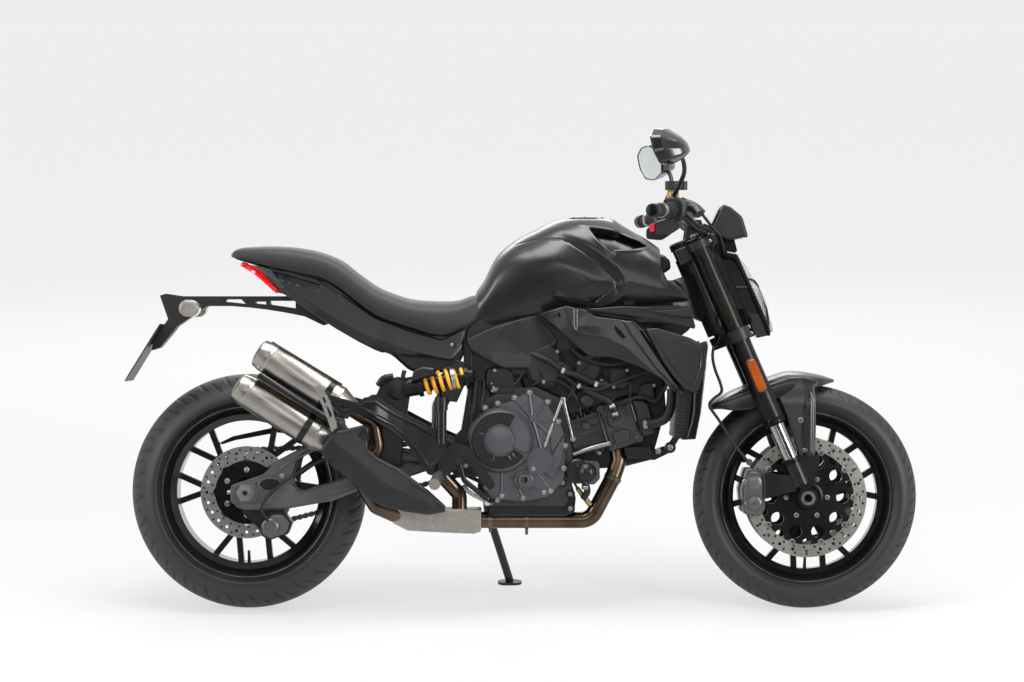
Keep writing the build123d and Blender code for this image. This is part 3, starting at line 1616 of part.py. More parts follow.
# ---------------------------------------------------------------- labels and export
# The whole bike leans on its stand, and the frame's origin is under the middle of it.
MIDDLE_X = 738
MIDDLE_Y = 211.7
PARKED = Location((-MIDDLE_X, -MIDDLE_Y, 0)) * Location((0, 0, 0), (-LEAN, 0, 0))
PIECES = {
    "front_tyre": front_tyre,
    "front_wheel_rim": front_wheel_rim,
    "front_brake_discs": front_brake_discs,
    "rear_tyre": rear_tyre,
    "rear_wheel_rim": rear_rim,
    "rear_brake_disc": rear_brake_disc,
    "rear_sprocket": rear_sprocket,
    "fork_outer_tubes": fork_outer_tubes,
    "fork_stanchions": fork_stanchions,
    "fork_feet": fork_feet,
    "fork_yokes": fork_yokes,
    "front_axle": front_axle,
    "front_calipers": front_calipers,
    "front_fender": front_fender,
    "headlight_housing": headlight_housing,
    "headlight_lens": headlight_lens,
    "instrument_display": instrument_display,
    "handlebar": handlebar,
    "handlebar_grips": grips,
    "bar_controls": bar_controls,
    "mirror_housings": mirror_housings,
    "mirror_glasses": mirror_glasses,
    "front_brake_hoses": front_brake_hoses,
    "main_frame": main_frame,
    "crankcase": crankcase,
    "engine_covers": engine_covers,
    "cylinders": cylinders,
    "air_box": air_box,
    "radiator": radiator,
    "radiator_shrouds": radiator_shrouds,
    "side_fairings": side_fairings,
    "fuel_tank": tank_shell,
    "tank_front_panels": tank_front_panels,
    "filler_ring": filler_ring,
    "fuel_cap_lid": fuel_cap_lid,
    "side_covers": airbox_covers,
    "seat": seat,
    "tail_cowl": tail_cowl,
    "tail_light": tail_light,
    "plate_hanger": plate_hanger,
    "rear_turn_signals": rear_turn_signals,
    "licence_plate": licence_plate,
    "swingarm": swingarm,
    "rear_axle": rear_axle,
    "shock_absorber": shock_absorber,
    "shock_spring": shock_spring,
    "drive_chain": drive_chain,
    "chain_guard": chain_guard,
    "rear_caliper": rear_caliper,
    "silencers": silencers,
    "exhaust_pipes": exhaust_pipes,
    "exhaust_collector": exhaust_collector,
    "exhaust_shield": exhaust_shield,
    "footrest_brackets": footrest_brackets,
    "footpegs": footpegs,
    "foot_controls": foot_controls,
    "side_stand_bracket": side_stand_bracket,
    "side_stand": side_stand,
}
for name, piece in PIECES.items():
    piece.part.label = name
    parked = piece.part.moved(PARKED)
    parked.label = name
    export_step(parked, f"parts/{name}.step")
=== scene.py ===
import json

import bpy
import numpy as np
from mathutils import Matrix, Vector


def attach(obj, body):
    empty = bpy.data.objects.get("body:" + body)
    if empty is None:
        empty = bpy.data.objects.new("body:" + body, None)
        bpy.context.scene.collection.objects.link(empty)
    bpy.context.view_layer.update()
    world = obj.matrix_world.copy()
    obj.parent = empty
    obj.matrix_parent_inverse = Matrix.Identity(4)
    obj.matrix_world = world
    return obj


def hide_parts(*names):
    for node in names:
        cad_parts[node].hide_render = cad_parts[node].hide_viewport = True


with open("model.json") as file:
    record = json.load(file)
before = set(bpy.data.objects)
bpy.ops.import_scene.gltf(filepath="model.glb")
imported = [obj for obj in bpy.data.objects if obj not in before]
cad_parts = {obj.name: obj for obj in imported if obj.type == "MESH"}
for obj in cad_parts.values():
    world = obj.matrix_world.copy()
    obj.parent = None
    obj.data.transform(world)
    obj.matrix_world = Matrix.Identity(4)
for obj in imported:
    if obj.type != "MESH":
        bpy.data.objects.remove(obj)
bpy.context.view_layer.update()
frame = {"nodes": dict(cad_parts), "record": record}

# ---------------- how the bike stands
# The bike leans to its left on the side stand. Every piece below is drawn on the upright bike: X
# forward from the rear axle, Y to the rider's left, Z up from the road, all in millimetres. The
# record's wheel joints say where the two axles are once it is parked, and so give the lean.
joints = {joint["name"]: joint for joint in frame["record"]["behaviour"]["joints"]}
front_hub = np.array(joints["front_wheel_spin"]["pos_m"])
rear_hub = np.array(joints["rear_wheel_spin"]["pos_m"])
leftwards = np.array(joints["rear_wheel_spin"]["axis"])
upwards = np.cross([1, 0, 0], leftwards)
LEANING = np.column_stack([[1, 0, 0], leftwards, upwards])
WHEELBASE = (front_hub[0] - rear_hub[0]) * 1000
REAR_AXLE_Z = 315.47
FRONT_AXLE_Z = 300.96
ORIGIN = rear_hub - LEANING @ [0, 0, REAR_AXLE_Z / 1000]


def parked(points):
    """Points in millimetres on the upright bike, leaned and moved to where it stands, in metres."""
    return np.asarray(points, float) / 1000 @ LEANING.T + ORIGIN


# ---------------- camera and studio
# A long lens square to the bike's right side, at the height of the tank's foot. The sweep of pale
# paper under and behind it is lit evenly, and soft boxes above and beside the bike shape it.
CAMERA_PLACE = (706, -8800, 718)
VIEW_WIDTH = 2754.56
SENSOR_WIDTH = 36
camera_data = bpy.data.cameras.new("camera")
camera_data.sensor_width = SENSOR_WIDTH
camera_data.lens = SENSOR_WIDTH * -CAMERA_PLACE[1] / VIEW_WIDTH
camera_data.clip_end = 100
camera = bpy.data.objects.new("camera", camera_data)
camera.matrix_world = Matrix.Translation(parked(CAMERA_PLACE)) @ Matrix(np.column_stack([LEANING[:, 0],
    LEANING[:, 2], -LEANING[:, 1]])).to_4x4()
bpy.context.scene.collection.objects.link(camera)
bpy.context.scene.camera = camera
bpy.context.scene.view_settings.view_transform = "Standard"


def linear(colour):
    """An sRGB hex colour as linear red, green, blue and alpha."""
    parts = np.array([int(colour[i : i + 2], 16) for i in (1, 3, 5)]) / 255
    parts = np.where(parts <= 0.04045, parts / 12.92, ((parts + 0.055) / 1.055) ** 2.4)
    return (*parts, 1.0)


def add(tree, kind, inputs=(), **settings):
    """Adds a shader node. settings are its own properties, and inputs pair a socket with a value or with the
    output that is linked to it."""
    node = tree.nodes.new("ShaderNode" + kind)
    for name, value in settings.items():
        setattr(node, name, value)
    for socket, value in dict(inputs).items():
        if isinstance(value, bpy.types.NodeSocket):
            tree.links.new(value, node.inputs[socket])
        else:
            node.inputs[socket].default_value = value
    return node


def shader_of(material):
    """The material's node tree and its Principled shader."""
    material.use_nodes = True
    return material.node_tree, material.node_tree.nodes["Principled BSDF"]


def tune(shader, **values):
    """Sets the shader's own sockets, with an underscore for each space in a socket's name."""
    for socket, value in values.items():
        shader.inputs[socket.replace("_", " ")].default_value = value


def ramp(tree, value, low, high, start=0.0, end=1.0, **settings):
    """The value carried over from low and high to start and end."""
    inputs = {"Value": value, "From Min": low, "From Max": high, "To Min": start, "To Max": end}
    return add(tree, "MapRange", inputs, **settings).outputs["Result"]


def blend(tree, share, start, end):
    """A colour that goes from start to end by share, each a value or another node's output."""
    return add(tree, "Mix", {0: share, 6: start, 7: end}, data_type="RGBA").outputs[2]


def combine(tree, operation, first, second):
    """Two numbers made into one by a sum, a product or the like."""
    return add(tree, "Math", {0: first, 1: second}, operation=operation).outputs[0]


def object_place(tree):
    """Each point's place in its object's own axes."""
    return add(tree, "TexCoord").outputs["Object"]


def seen_directly(tree):
    """1 where a camera, mirror or glass ray looks, 0 where the surface only lights the bike."""
    rays = add(tree, "LightPath").outputs
    clear = combine(tree, "MAXIMUM", rays["Is Glossy Ray"], rays["Is Transmission Ray"])
    return combine(tree, "MAXIMUM", rays["Is Camera Ray"], clear)


world = bpy.data.worlds.new("studio")
bpy.context.scene.world = world
world.use_nodes = True
# The camera sees the white sweep all round. In gloss and chrome it darkens towards the camera's own side,
# as the unlit half of a studio does.
tree = world.node_tree
direction = add(tree, "SeparateXYZ", {0: add(tree, "TexCoord").outputs["Generated"]})
mirrored = ramp(tree, direction.outputs["Y"], -0.95, 0.15, 0.05, 0.85)
glossy = add(tree, "LightPath").outputs["Is Glossy Ray"]
sweep = add(tree, "Mix", {0: glossy, 2: 0.85, 3: mirrored})
backdrop_light = add(tree, "Mix", {0: seen_directly(tree), 2: 0.25, 3: sweep.outputs[0]})
backdrop = tree.nodes["Background"]
backdrop.inputs["Color"].default_value = (1, 1, 1, 1)
tree.links.new(backdrop_light.outputs[0], backdrop.inputs["Strength"])


def soft_box(name, place, target, width, height, watts):
    """A rectangular soft box at place that faces target, both in metres."""
    data = bpy.data.lights.new(name, "AREA")
    data.shape = "RECTANGLE"
    data.size = width
    data.size_y = height
    data.energy = watts
    lamp = bpy.data.objects.new(name, data)
    aim = Vector(target) - Vector(place)
    lamp.matrix_world = Matrix.Translation(place) @ aim.to_track_quat("-Z", "Y").to_matrix().to_4x4()
    bpy.context.scene.collection.objects.link(lamp)


soft_box("roof_box", (0.1, -0.2, 3.4), (0, 0, 0.4), 3.6, 1.4, 125)
soft_box("side_box", (0.2, -4.4, 2.6), (0, 0, 0.6), 3.4, 0.8, 24)
soft_box("far_box", (-0.4, 4.2, 2.6), (0, 0, 0.6), 3.6, 1.2, 55)
soft_box("tail_box", (-3.4, -1.9, 1.7), (0, 0, 0.6), 0.9, 2.4, 60)
soft_box("nose_box", (3.4, -2.6, 1.7), (0.2, 0, 0.6), 0.9, 2.4, 105)
soft_box("edge_box", (-0.3, -5.4, 1.4), (0, 0, 0.7), 0.35, 2.6, 9)

# The floor is the same pale paper: where nothing shades it, it shows the backdrop's own tone.
FLOOR_SIZE = 40
floor_mesh = bpy.data.meshes.new("studio_floor")
corners = np.array([(-1, -1, 0), (1, -1, 0), (1, 1, 0), (-1, 1, 0)]) * FLOOR_SIZE / 2
floor_mesh.from_pydata(corners.tolist(), [], [(0, 1, 2, 3)])
floor = bpy.data.objects.new("studio_floor", floor_mesh)
bpy.context.scene.collection.objects.link(floor)
floor_paper = bpy.data.materials.new("matt_white_paper")
tree, shader = shader_of(floor_paper)
tune(shader, Roughness=0.8, Specular_IOR_Level=0.1)
seen = seen_directly(tree)
shade = blend(tree, seen, linear("#f4f4f4"), linear("#8c8c8c"))
tree.links.new(shade, shader.inputs["Base Color"])
from_middle = add(tree, "VectorMath", {0: object_place(tree)}, operation="LENGTH").outputs["Value"]
glow = ramp(tree, from_middle, 0.6, 5.0, 0.6, 0.76, interpolation_type="SMOOTHSTEP")
glow = combine(tree, "MULTIPLY", glow, seen)
# In gloss and chrome the floor dims towards the camera's side as well.
near = ramp(tree, add(tree, "SeparateXYZ", {0: object_place(tree)}).outputs["Y"], -2.5, 0.4, 0.1, 1.0)
glossy = add(tree, "LightPath").outputs["Is Glossy Ray"]
dimmed = add(tree, "Mix", {0: glossy, 2: 1.0, 3: near})
glow = combine(tree, "MULTIPLY", glow, dimmed.outputs[0])
tune(shader, Emission_Color=(1, 1, 1, 1))
tree.links.new(glow, shader.inputs["Emission Strength"])
floor_mesh.materials.append(floor_paper)

# ---------------- frame and brackets
# Steel and cast pieces that hold the bike together, powder coated in satin black. Little of them
# shows, and they come as they are in the frame with a fine orange peel in the coat.


def finish(name, colours, rough, metal=0.0, grain=3.0, relief=0.02, spread=0.06, coat=0.0, stretch=(1, 1, 1)):
    """A material that drifts between two colours over a noise whose grains are that many millimetres.
    The same noise spreads the roughness and raises a bump of relief millimetres, and stretch draws the
    grains out along an axis, as brushing does."""
    material = bpy.data.materials.new(name)
    tree, shader = shader_of(material)
    tune(shader, Metallic=metal, Coat_Weight=coat, Coat_Roughness=0.1,
        Specular_IOR_Level=0.5 if metal else 0.45)
    place = add(tree, "Mapping", {"Vector": object_place(tree), "Scale": stretch}).outputs["Vector"]
    noise = add(tree, "TexNoise", {"Vector": place, "Scale": 500 / grain, "Detail": 3.0}).outputs["Fac"]
    patches = add(tree, "TexNoise", {"Vector": place, "Scale": 14.0, "Detail": 2.0}).outputs["Fac"]
    both = combine(tree, "ADD", noise, patches)
    tone = blend(tree, ramp(tree, both, 0.7, 1.3), linear(colours[0]), linear(colours[1]))
    tree.links.new(tone, shader.inputs["Base Color"])
    gloss = ramp(tree, both, 0.7, 1.3, rough - spread, rough + spread)
    tree.links.new(gloss, shader.inputs["Roughness"])
    bump = add(tree, "Bump", {"Height": noise, "Distance": relief / 1000, "Strength": 1.0})
    tree.links.new(bump.outputs["Normal"], shader.inputs["Normal"])
    return material


def dress(material, *nodes):
    """The CAD nodes take this material in place of their own."""
    for node in nodes:
        slots = frame["nodes"][node].data.materials
        slots.clear()
        slots.append(material)


frame_black = finish("powder_coated_steel", ("#131415", "#1a1b1d"), 0.42, grain=1.5)
dress(frame_black, "main_frame", "side_stand_bracket", "side_stand", "fork_yokes")

# The rest of the dark moulded parts that stay as they came: polypropylene with a grain of about 1 mm.
black_plastic = finish("moulded_black_polypropylene", ("#101112", "#17181a"), 0.5, grain=1.0, relief=0.02)
dress(black_plastic, "air_box", "radiator")

# ---------------- engine
# A V-twin with die-cast magnesium covers on a sand-cast aluminium case, all in a graphite lacquer.
# The covers are ribbed for stiffness and held by steel flange bolts on bosses round their rims.


def through(points, steps):
    """A smooth line through points along the first axis: a Catmull-Rom cubic in each gap, cut in steps."""
    points = np.asarray(points, float)
    first = 2 * points[:1] - points[1:2]
    last = 2 * points[-1:] - points[-2:-1]
    padded = np.concatenate([first, points, last])[:, None]
    before, start, end, after = padded[:-3], padded[1:-2], padded[2:-1], padded[3:]
    t = (np.arange(steps) / steps).reshape((1, steps) + (1,) * (points.ndim - 1))
    bend = 2 * before - 5 * start + 4 * end - after
    twist = 3 * (start - end) + after - before
    line = start + 0.5 * t * (end - before + t * (bend + t * twist))
    return np.concatenate([line.reshape((-1,) + points.shape[1:]), points[-1:]])


def grid(points, round_rows=False, round_columns=False, capped=False):
    """A grid of points as (vertices, faces): quads between neighbours, joined round where asked, and
    with its first and last rows closed by one face each if capped."""
    rows, columns = points.shape[:2]
    index = np.arange(rows * columns).reshape(rows, columns)
    if round_rows:
        index = np.concatenate([index, index[:1]])
    if round_columns:
        index = np.concatenate([index, index[:, :1]], axis=1)
    quads = np.stack([index[:-1, :-1], index[:-1, 1:], index[1:, 1:], index[1:, :-1]], axis=-1)
    faces = quads.reshape(-1, 4).tolist()
    if capped:
        faces += [index[0, :columns][::-1].tolist(), index[-1, :columns].tolist()]
    return points.reshape(-1, 3), faces


def joined(parts):
    """Several (vertices, faces) as one."""
    vertices, faces, count = [], [], 0
    for points, polygons in parts:
        vertices.append(points)
        faces += [[corner + count for corner in polygon] for polygon in polygons]
        count += len(points)
    return np.concatenate(vertices), faces


def outward(part):
    """A closed part with its faces turned outwards: if the volume inside them adds up negative, each
    face's corners are reversed."""
    points, faces = part
    volume = 0.0
    for size in {len(face) for face in faces}:
        corners = points[np.array([face for face in faces if len(face) == size])]
        for k in range(1, size - 1):
            volume += np.einsum("ij,ij->", corners[:, 0], np.cross(corners[:, k], corners[:, k + 1]))
    return (points, [face[::-1] for face in faces]) if volume < 0 else part


def closed(rings):
    """A closed part from rings of points, the first and last of them filled in."""
    return outward(grid(rings, round_columns=True, capped=True))


def both_sides(parts):
    """Parts drawn on the right side, and the same mirrored to the left."""
    return parts + [(points * (1, -1, 1), [face[::-1] for face in faces]) for points, faces in parts]


def build(name, parts, material, body="chassis", replaced=(), sharp=32):
    """Makes one piece of the bike from parts in millimetres on the upright bike, riding on that body."""
    points, faces = joined(parts)
    mesh = bpy.data.meshes.new(name)
    mesh.from_pydata(parked(points).tolist(), [], faces)
    mesh.shade_smooth()
    mesh.set_sharp_from_angle(angle=np.radians(sharp))
    mesh.materials.append(material)
    piece = bpy.data.objects.new(name, mesh)
    bpy.context.scene.collection.objects.link(piece)
    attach(piece, body)
    if replaced:
        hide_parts(*replaced)
    return piece


def tube(points, radius, sides, steps):
    """A round bar along a smooth line through the points, in rings that stand square to it. Its radius may
    vary along the line."""
    line = through(points, steps)
    radii = np.interp(np.linspace(0, 1, len(line)), np.linspace(0, 1, np.size(radius)), np.atleast_1d(radius))
    ahead = np.gradient(line, axis=0)
    ahead /= np.linalg.norm(ahead, axis=1)[:, None]
    across = np.cross(np.eye(3)[np.abs(ahead).max(axis=0).argmin()], ahead)
    across /= np.linalg.norm(across, axis=1)[:, None]
    up = np.cross(ahead, across)
    turn = np.linspace(0, 2 * np.pi, sides, endpoint=False)[:, None]
    spokes = across[:, None] * np.cos(turn) + up[:, None] * np.sin(turn)
    rings = line[:, None] + radii[:, None, None] * spokes
    return closed(rings)


def turned(profile, centre, axis=(0, -1, 0), sides=40):
    """A part turned on a lathe: each (distance, radius) of the profile is a ring round the axis."""
    axis = np.asarray(axis, float) / np.linalg.norm(axis)
    across = np.cross(axis, np.eye(3)[np.abs(axis).argmin()])
    across /= np.linalg.norm(across)
    turn = np.linspace(0, 2 * np.pi, sides, endpoint=False)[:, None]
    circle = across * np.cos(turn) + np.cross(axis, across) * np.sin(turn)
    profile = np.asarray(profile, float)
    rings = np.asarray(centre, float) + profile[:, :1, None] * axis + profile[:, 1:, None] * circle
    return closed(rings)


def bolts(places, radius, height, axis=(0, -1, 0)):
    """Flange bolts with a socket in the head, one at each place."""
    head = [(0, radius * 1.35), (height * 0.28, radius * 1.35), (height * 0.36, radius),
        (height * 0.9, radius), (height, radius * 0.86), (height, radius * 0.5),
        (height * 0.4, radius * 0.46)]
    return [turned(head, place, axis, 12) for place in places]


def rounded(outline, count, soften=3):
    """count points evenly along a closed outline, its corners rounded by averaging neighbours."""
    loop = np.concatenate([outline, outline[:1]]).astype(float)
    along = np.concatenate([[0], np.cumsum(np.hypot(*np.diff(loop, axis=0).T))])
    at = np.linspace(0, along[-1], count, endpoint=False)
    line = np.stack([np.interp(at, along, loop[:, 0]), np.interp(at, along, loop[:, 1])], axis=1)
    for _ in range(soften):
        line = (np.roll(line, 1, axis=0) + 2 * line + np.roll(line, -1, axis=0)) / 4
    return line


def plate(outline, outer, inner, edge, count=None):
    """A flat plate in the side view, from inner to outer millimetres right of the middle, with a bevel round
    its outer face: the rim steps in by edge along its own normal."""
    rim = np.asarray(outline, float) if count is None else rounded(outline, count)
    run = np.roll(rim, -1, axis=0) - np.roll(rim, 1, axis=0)
    normal = np.stack([-run[:, 1], run[:, 0]], axis=1) / np.hypot(*run.T)[:, None]
    area = (rim[:, 0] * np.roll(rim[:, 1], -1) - np.roll(rim[:, 0], -1) * rim[:, 1]).sum()
    inset = rim + normal * np.sign(area) * edge
    rows = [np.insert(line, 1, -distance, axis=1) for line, distance in ((rim, inner), (rim, outer - edge),
        (inset, outer))]
    return closed(np.stack(rows))


def arc(centre, radius, start, end, count):
    """Points on an arc in the side view, between two angles in degrees from straight ahead."""
    turn = np.radians(np.linspace(start, end, count))
    return [(centre[0] + radius * np.cos(a), centre[1] + radius * np.sin(a)) for a in turn]


def spokes(centre, start, end, radius, angles):
    """Round ribs that run out from a centre at each angle, from one (distance, y) to another."""
    turns = [(np.cos(a), np.sin(a)) for a in np.radians(angles)]
    ends = [[(centre[0] + r * c, y, centre[1] + r * s) for r, y in (start, end)] for c, s in turns]
    return [tube(points, radius, 8, 1) for points in ends]


# Pressure die castings have a fine, even grain of about 1 mm under the lacquer.
cover_cast = finish("die_cast_graphite_lacquer", ("#4b4c4f", "#5a5b5f"), 0.34, metal=0.5, grain=1.0,
    relief=0.05)
case_cast = finish("sand_cast_graphite_lacquer", ("#303133", "#414245"), 0.40, metal=0.45, grain=1.8,
    relief=0.09)
dark_cast = finish("black_lacquered_casting", ("#111213", "#1a1b1d"), 0.32, metal=0.25, grain=1.6,
    relief=0.07)
dress(cover_cast, "engine_covers")
dress(case_cast, "crankcase", "cylinders")

# The clutch cover: a domed disc with a dark band cut away round three quarters of it and a plain hub.
CLUTCH = (675, 455)
CLUTCH_PLACE = (675, -118, 455)
clutch_parts = [
    turned([(0, 88), (6, 87), (16, 83), (22, 78), (24, 72), (24, 42)], CLUTCH_PLACE, sides=90),
    turned([(0, 40), (27, 39), (30, 37), (31.5, 33)], CLUTCH_PLACE, sides=60),
    plate(arc(CLUTCH, 78, -28, 52, 24) + arc(CLUTCH, 38, 52, -28, 16), 148, 140, 2.5),
]
clutch_parts += spokes(CLUTCH, (46, -143), (80, -139), 2.2, [-48, -62, -110, -200])
# Ribs fan out over the case cover from a hub above the clutch's rim.
rib_ends = [(712, 566), (752, 580), (794, 556), (826, 500), (792, 400), (846, 430)]
cover_parts = [tube([(760, -118, 512), (x, -119, z)], (4.5, 3), 8, 1) for x, z in rib_ends]
cover_parts += [turned([(0, 11), (5, 9)], (760, -118, 512), sides=24)]
cover_parts += [tube([(x0, -118, z0), (x1, -118, z1)], 3.2, 8, 1) for x0, z0, x1, z1 in ((678, 372, 678, 312),
    (706, 364, 734, 304), (752, 330, 790, 318), (770, 372, 808, 322))]
cover_parts += [plate([(800, 398), (846, 470), (838, 396), (812, 352), (790, 372)], 124, 112, 3)]
cover_parts += [plate([(846, 470), (828, 516), (806, 470), (812, 420)], 122, 112, 3)]
rim_bosses = [(712, 567), (752, 581), (800, 556), (828, 504), (846, 440), (842, 380), (808, 320), (790, 316),
    (735, 301), (678, 307), (640, 330), (626, 400), (634, 540), (668, 552)]
cover_parts += [turned([(-14, 10), (4, 9), (5, 7)], (x, -116, z), sides=20) for x, z in rim_bosses]
cover_parts += [turned([(0, 24), (8, 23), (10, 20), (10, 17), (7, 16)], (739, -118, 349), sides=48)]
cover_parts += [turned([(0, 16), (8, 15), (11, 12)], (762, -118, 379), sides=32)]
build("clutch_cover_relief", clutch_parts, cover_cast)
build("case_cover_ribs", cover_parts, cover_cast)
band = plate(arc(CLUTCH, 76, 58, 326, 60) + arc(CLUTCH, 43, 326, 58, 40), 143.5, 138, 1.5)
build("clutch_cover_band", [band], dark_cast)

# Zinc-plated steel is a warm pale grey with a slight brushed streak.
bolt_steel = finish("zinc_plated_steel", ("#8d8c88", "#b3b1ab"), 0.32, metal=1.0, grain=0.8, relief=0.01)
bolt_places = [(x, -121, z) for x, z in rim_bosses] + [(762, -129, 379)]
bolt_places += [(651, -99, 288), (840, -99, 341), (861, -99, 311), (827, -99, 366), (861, -99, 272),
    (662, -99, 590)]
engine_bolts = bolts(bolt_places, 4.6, 6)
engine_bolts += bolts([(x, -y, z) for x, y, z in ((976, 66, 566), (960, 66, 540), (990, 66, 486),
    (1042, 66, 494), (938, 64, 420), (864, 62, 470), (1030, 66, 430))], 5.0, 7)
lugs = [turned([(-30, 13), (-2, 13), (0, 11)], (x, -99, z), sides=24)
    for x, z in ((840, 341), (861, 311), (827, 366), (861, 272))]
lugs += [plate([(640, 300), (640, 256), (654, 251), (846, 251), (872, 262), (876, 300), (862, 352),
    (800, 360)], 92, -70, 6)]
# A dark plate across the bike's middle, above the crankcase, is a sheet of painted shade that fills the gaps
# between the engine's parts.
lugs += [plate([(700, 470), (700, 640), (800, 660), (1110, 660), (1118, 540), (1100, 470), (1080, 400),
    (1000, 380), (860, 372), (800, 420)], 40, -40, 4)]
build("crankcase_lugs_sump_and_shade_filler", lugs, dark_cast)
build("engine_bolts", engine_bolts, bolt_steel)
# The oil sight glass, a moulded window that shows brown oil.
oil_glass = finish("oil_behind_polycarbonate", ("#3b3012", "#4a3d18"), 0.1, grain=6, relief=0.0, spread=0.02,
    coat=0.6)
build("oil_sight_glass", [turned([(0, 16), (2.5, 15), (3.5, 9)], (739, -124.5, 349), sides=40)], oil_glass)

# Machined flanges, ribs, plug cover and cam-drive cover on the cylinders, along each bank's own slope.
forward = np.array([np.cos(np.radians(16.5)), 0, np.sin(np.radians(16.5))])
upward = np.array([-forward[2], 0, forward[0]])


def on_bank(along, across, y):
    """A point on the front cylinder: along it, across it and sideways."""
    return np.array([850, 0, 455]) + forward * along + upward * across + (0, y, 0)


def bank_plate(outline, outer, inner, edge):
    """A plate whose outline is given along and across the front cylinder."""
    return plate([(850, 455) + forward[[0, 2]] * a + upward[[0, 2]] * c for a, c in outline], outer, inner,
        edge)


cylinder_parts = [
    bank_plate([(12, -50), (12, 44), (100, 50), (104, -52)], 76, 66, 3),
    bank_plate([(108, -60), (108, 60), (190, 62), (194, -58), (150, -64)], 88, 78, 4),
    bank_plate([(118, 8), (126, 44), (168, 48), (178, 20), (160, -4), (132, -8)], 96, 84, 4),
    bank_plate([(120, -18), (124, -48), (162, -50), (172, -24), (150, -12)], 93, 84, 3),
    bank_plate([(197, -50), (197, 50), (226, 44), (238, 30), (238, -30), (226, -46)], 86, 72, 5),
]
cylinder_parts += [tube([on_bank(14, c, -77), on_bank(100, c, -77)], 3.6, 8, 1) for c in (-30, -8, 14, 34)]
cylinder_parts += [tube([on_bank(a, -60, -80), on_bank(a, 60, -80)], 4.2, 8, 1) for a in (104, 192)]
cylinder_parts += [turned([(0, 11), (10, 10), (12, 7)], on_bank(a, c, -80), sides=20)
    for a, c in ((112, 54), (112, -54), (188, 52), (188, -52), (150, 0), (60, 20))]
build("front_cylinder_relief", cylinder_parts, case_cast)

# Two polished tie rods, and a coolant pipe along the cylinder's lower edge.
rods = [
    tube([(842, -112, 566), (866, -108, 462)], (5, 4.4), 14, 1),
    tube([(838, -112, 560), (792, -122, 436)], (4.6, 4), 14, 1),
    tube([on_bank(8, -44, -92), on_bank(60, -40, -96), on_bank(110, -42, -94)], 6.5, 14, 4),
]
rods += [
    turned([(0, 9), (10, 8)], (842, -106, 562), sides=16),
    turned([(0, 8), (9, 7)], (868, -102, 458), sides=16),
]
build("tie_rods_and_pipe", rods, bolt_steel)

# Water pump with its ribbed snout and clamped hose, moulded and cast in black below the cylinder.
pump_parts = [
    turned([(0, 26), (10, 25), (16, 20), (22, 11), (24, 6)], (905, -110, 369), sides=40),
    turned([(0, 34), (14, 33), (18, 28)], (880, -96, 372), sides=40),
    tube([(880, -108, 372), (900, -112, 340), (906, -104, 318), (896, -92, 300)], 9, 14, 5),
]
pump_parts += spokes((880, 372), (12, -113), (31, -111), 2.4, np.arange(0, 360, 45))
build("water_pump_relief", pump_parts, dark_cast)

# Front engine mount: a slotted alloy arm from the cylinder head to a bolt on the radiator's bracket.
arm = [
    plate([(1006, 414), (1004, 436), (1074, 440), (1086, 418), (1076, 405), (1014, 405)], 84, 40, 3),
    plate([(1062, 402), (1070, 424), (1120, 440), (1136, 446), (1142, 432), (1128, 420), (1086, 400)], 70, 58,
        2),
    turned([(0, 15), (14, 15), (16, 12)], (1128, -66, 434), sides=28),
    tube([(1132, -62, 440), (1150, -62, 470), (1160, -62, 490)], 9, 12, 3),
]
build("front_engine_mount", arm, dark_cast)
build("front_mount_bolts", bolts([(1128, -82, 434), (1096, -70, 424)], 6, 5), bolt_steel)

# ---------------- throttle bodies, hoses and wiring
# Between the cylinders and the tank everything is black: moulded covers, EPDM rubber hoses with
# bright worm-drive clamps, plugs and the loom, clipped to the frame.
black_rubber = finish("black_epdm_rubber", ("#101011", "#19191a"), 0.55, grain=0.8, relief=0.03)
black_mould = finish("glass_filled_black_nylon", ("#151617", "#1f2022"), 0.42, grain=1.2, relief=0.04)
intake_parts = [
    plate([(740, 650), (762, 700), (812, 716), (838, 690), (842, 640), (820, 596), (790, 590), (752, 610)],
        112, 78, 10, 60),
    plate([(776, 640), (800, 672), (826, 668), (836, 630), (816, 606), (790, 606)], 120, 110, 6, 40),
    plate([(868, 640), (884, 676), (932, 680), (948, 640), (930, 606), (884, 604)], 104, 78, 8, 50),
    plate([(960, 600), (966, 644), (1012, 650), (1024, 604), (1000, 584)], 98, 78, 6, 40),
    plate([(1040, 560), (1044, 604), (1080, 612), (1092, 566)], 92, 70, 6, 40),
    plate([(630, 600), (636, 648), (700, 652), (720, 610), (716, 576), (650, 572)], 100, 78, 6, 40),
    plate([(640, 650), (652, 668), (740, 664), (760, 640), (742, 622), (664, 628)], 92, 78, 5, 40),
    turned([(0, 22), (16, 21), (20, 17)], (840, -96, 640), sides=32),
    turned([(0, 17), (20, 16), (23, 12)], (906, -98, 560), sides=28),
]
intake_parts += [plate([(1076, 902), (1080, 940), (1094, 952), (1112, 950), (1130, 934), (1132, 912),
    (1116, 900)], 28, -28, 6, 60)]
intake_parts += [tube([(x, -84, 566 + 0.3 * (x - 850)), (x + 8, -96, 604 + 0.3 * (x - 850))], 11, 14, 1)
    for x in (866, 898, 932)]
build("throttle_bodies", intake_parts, black_mould)

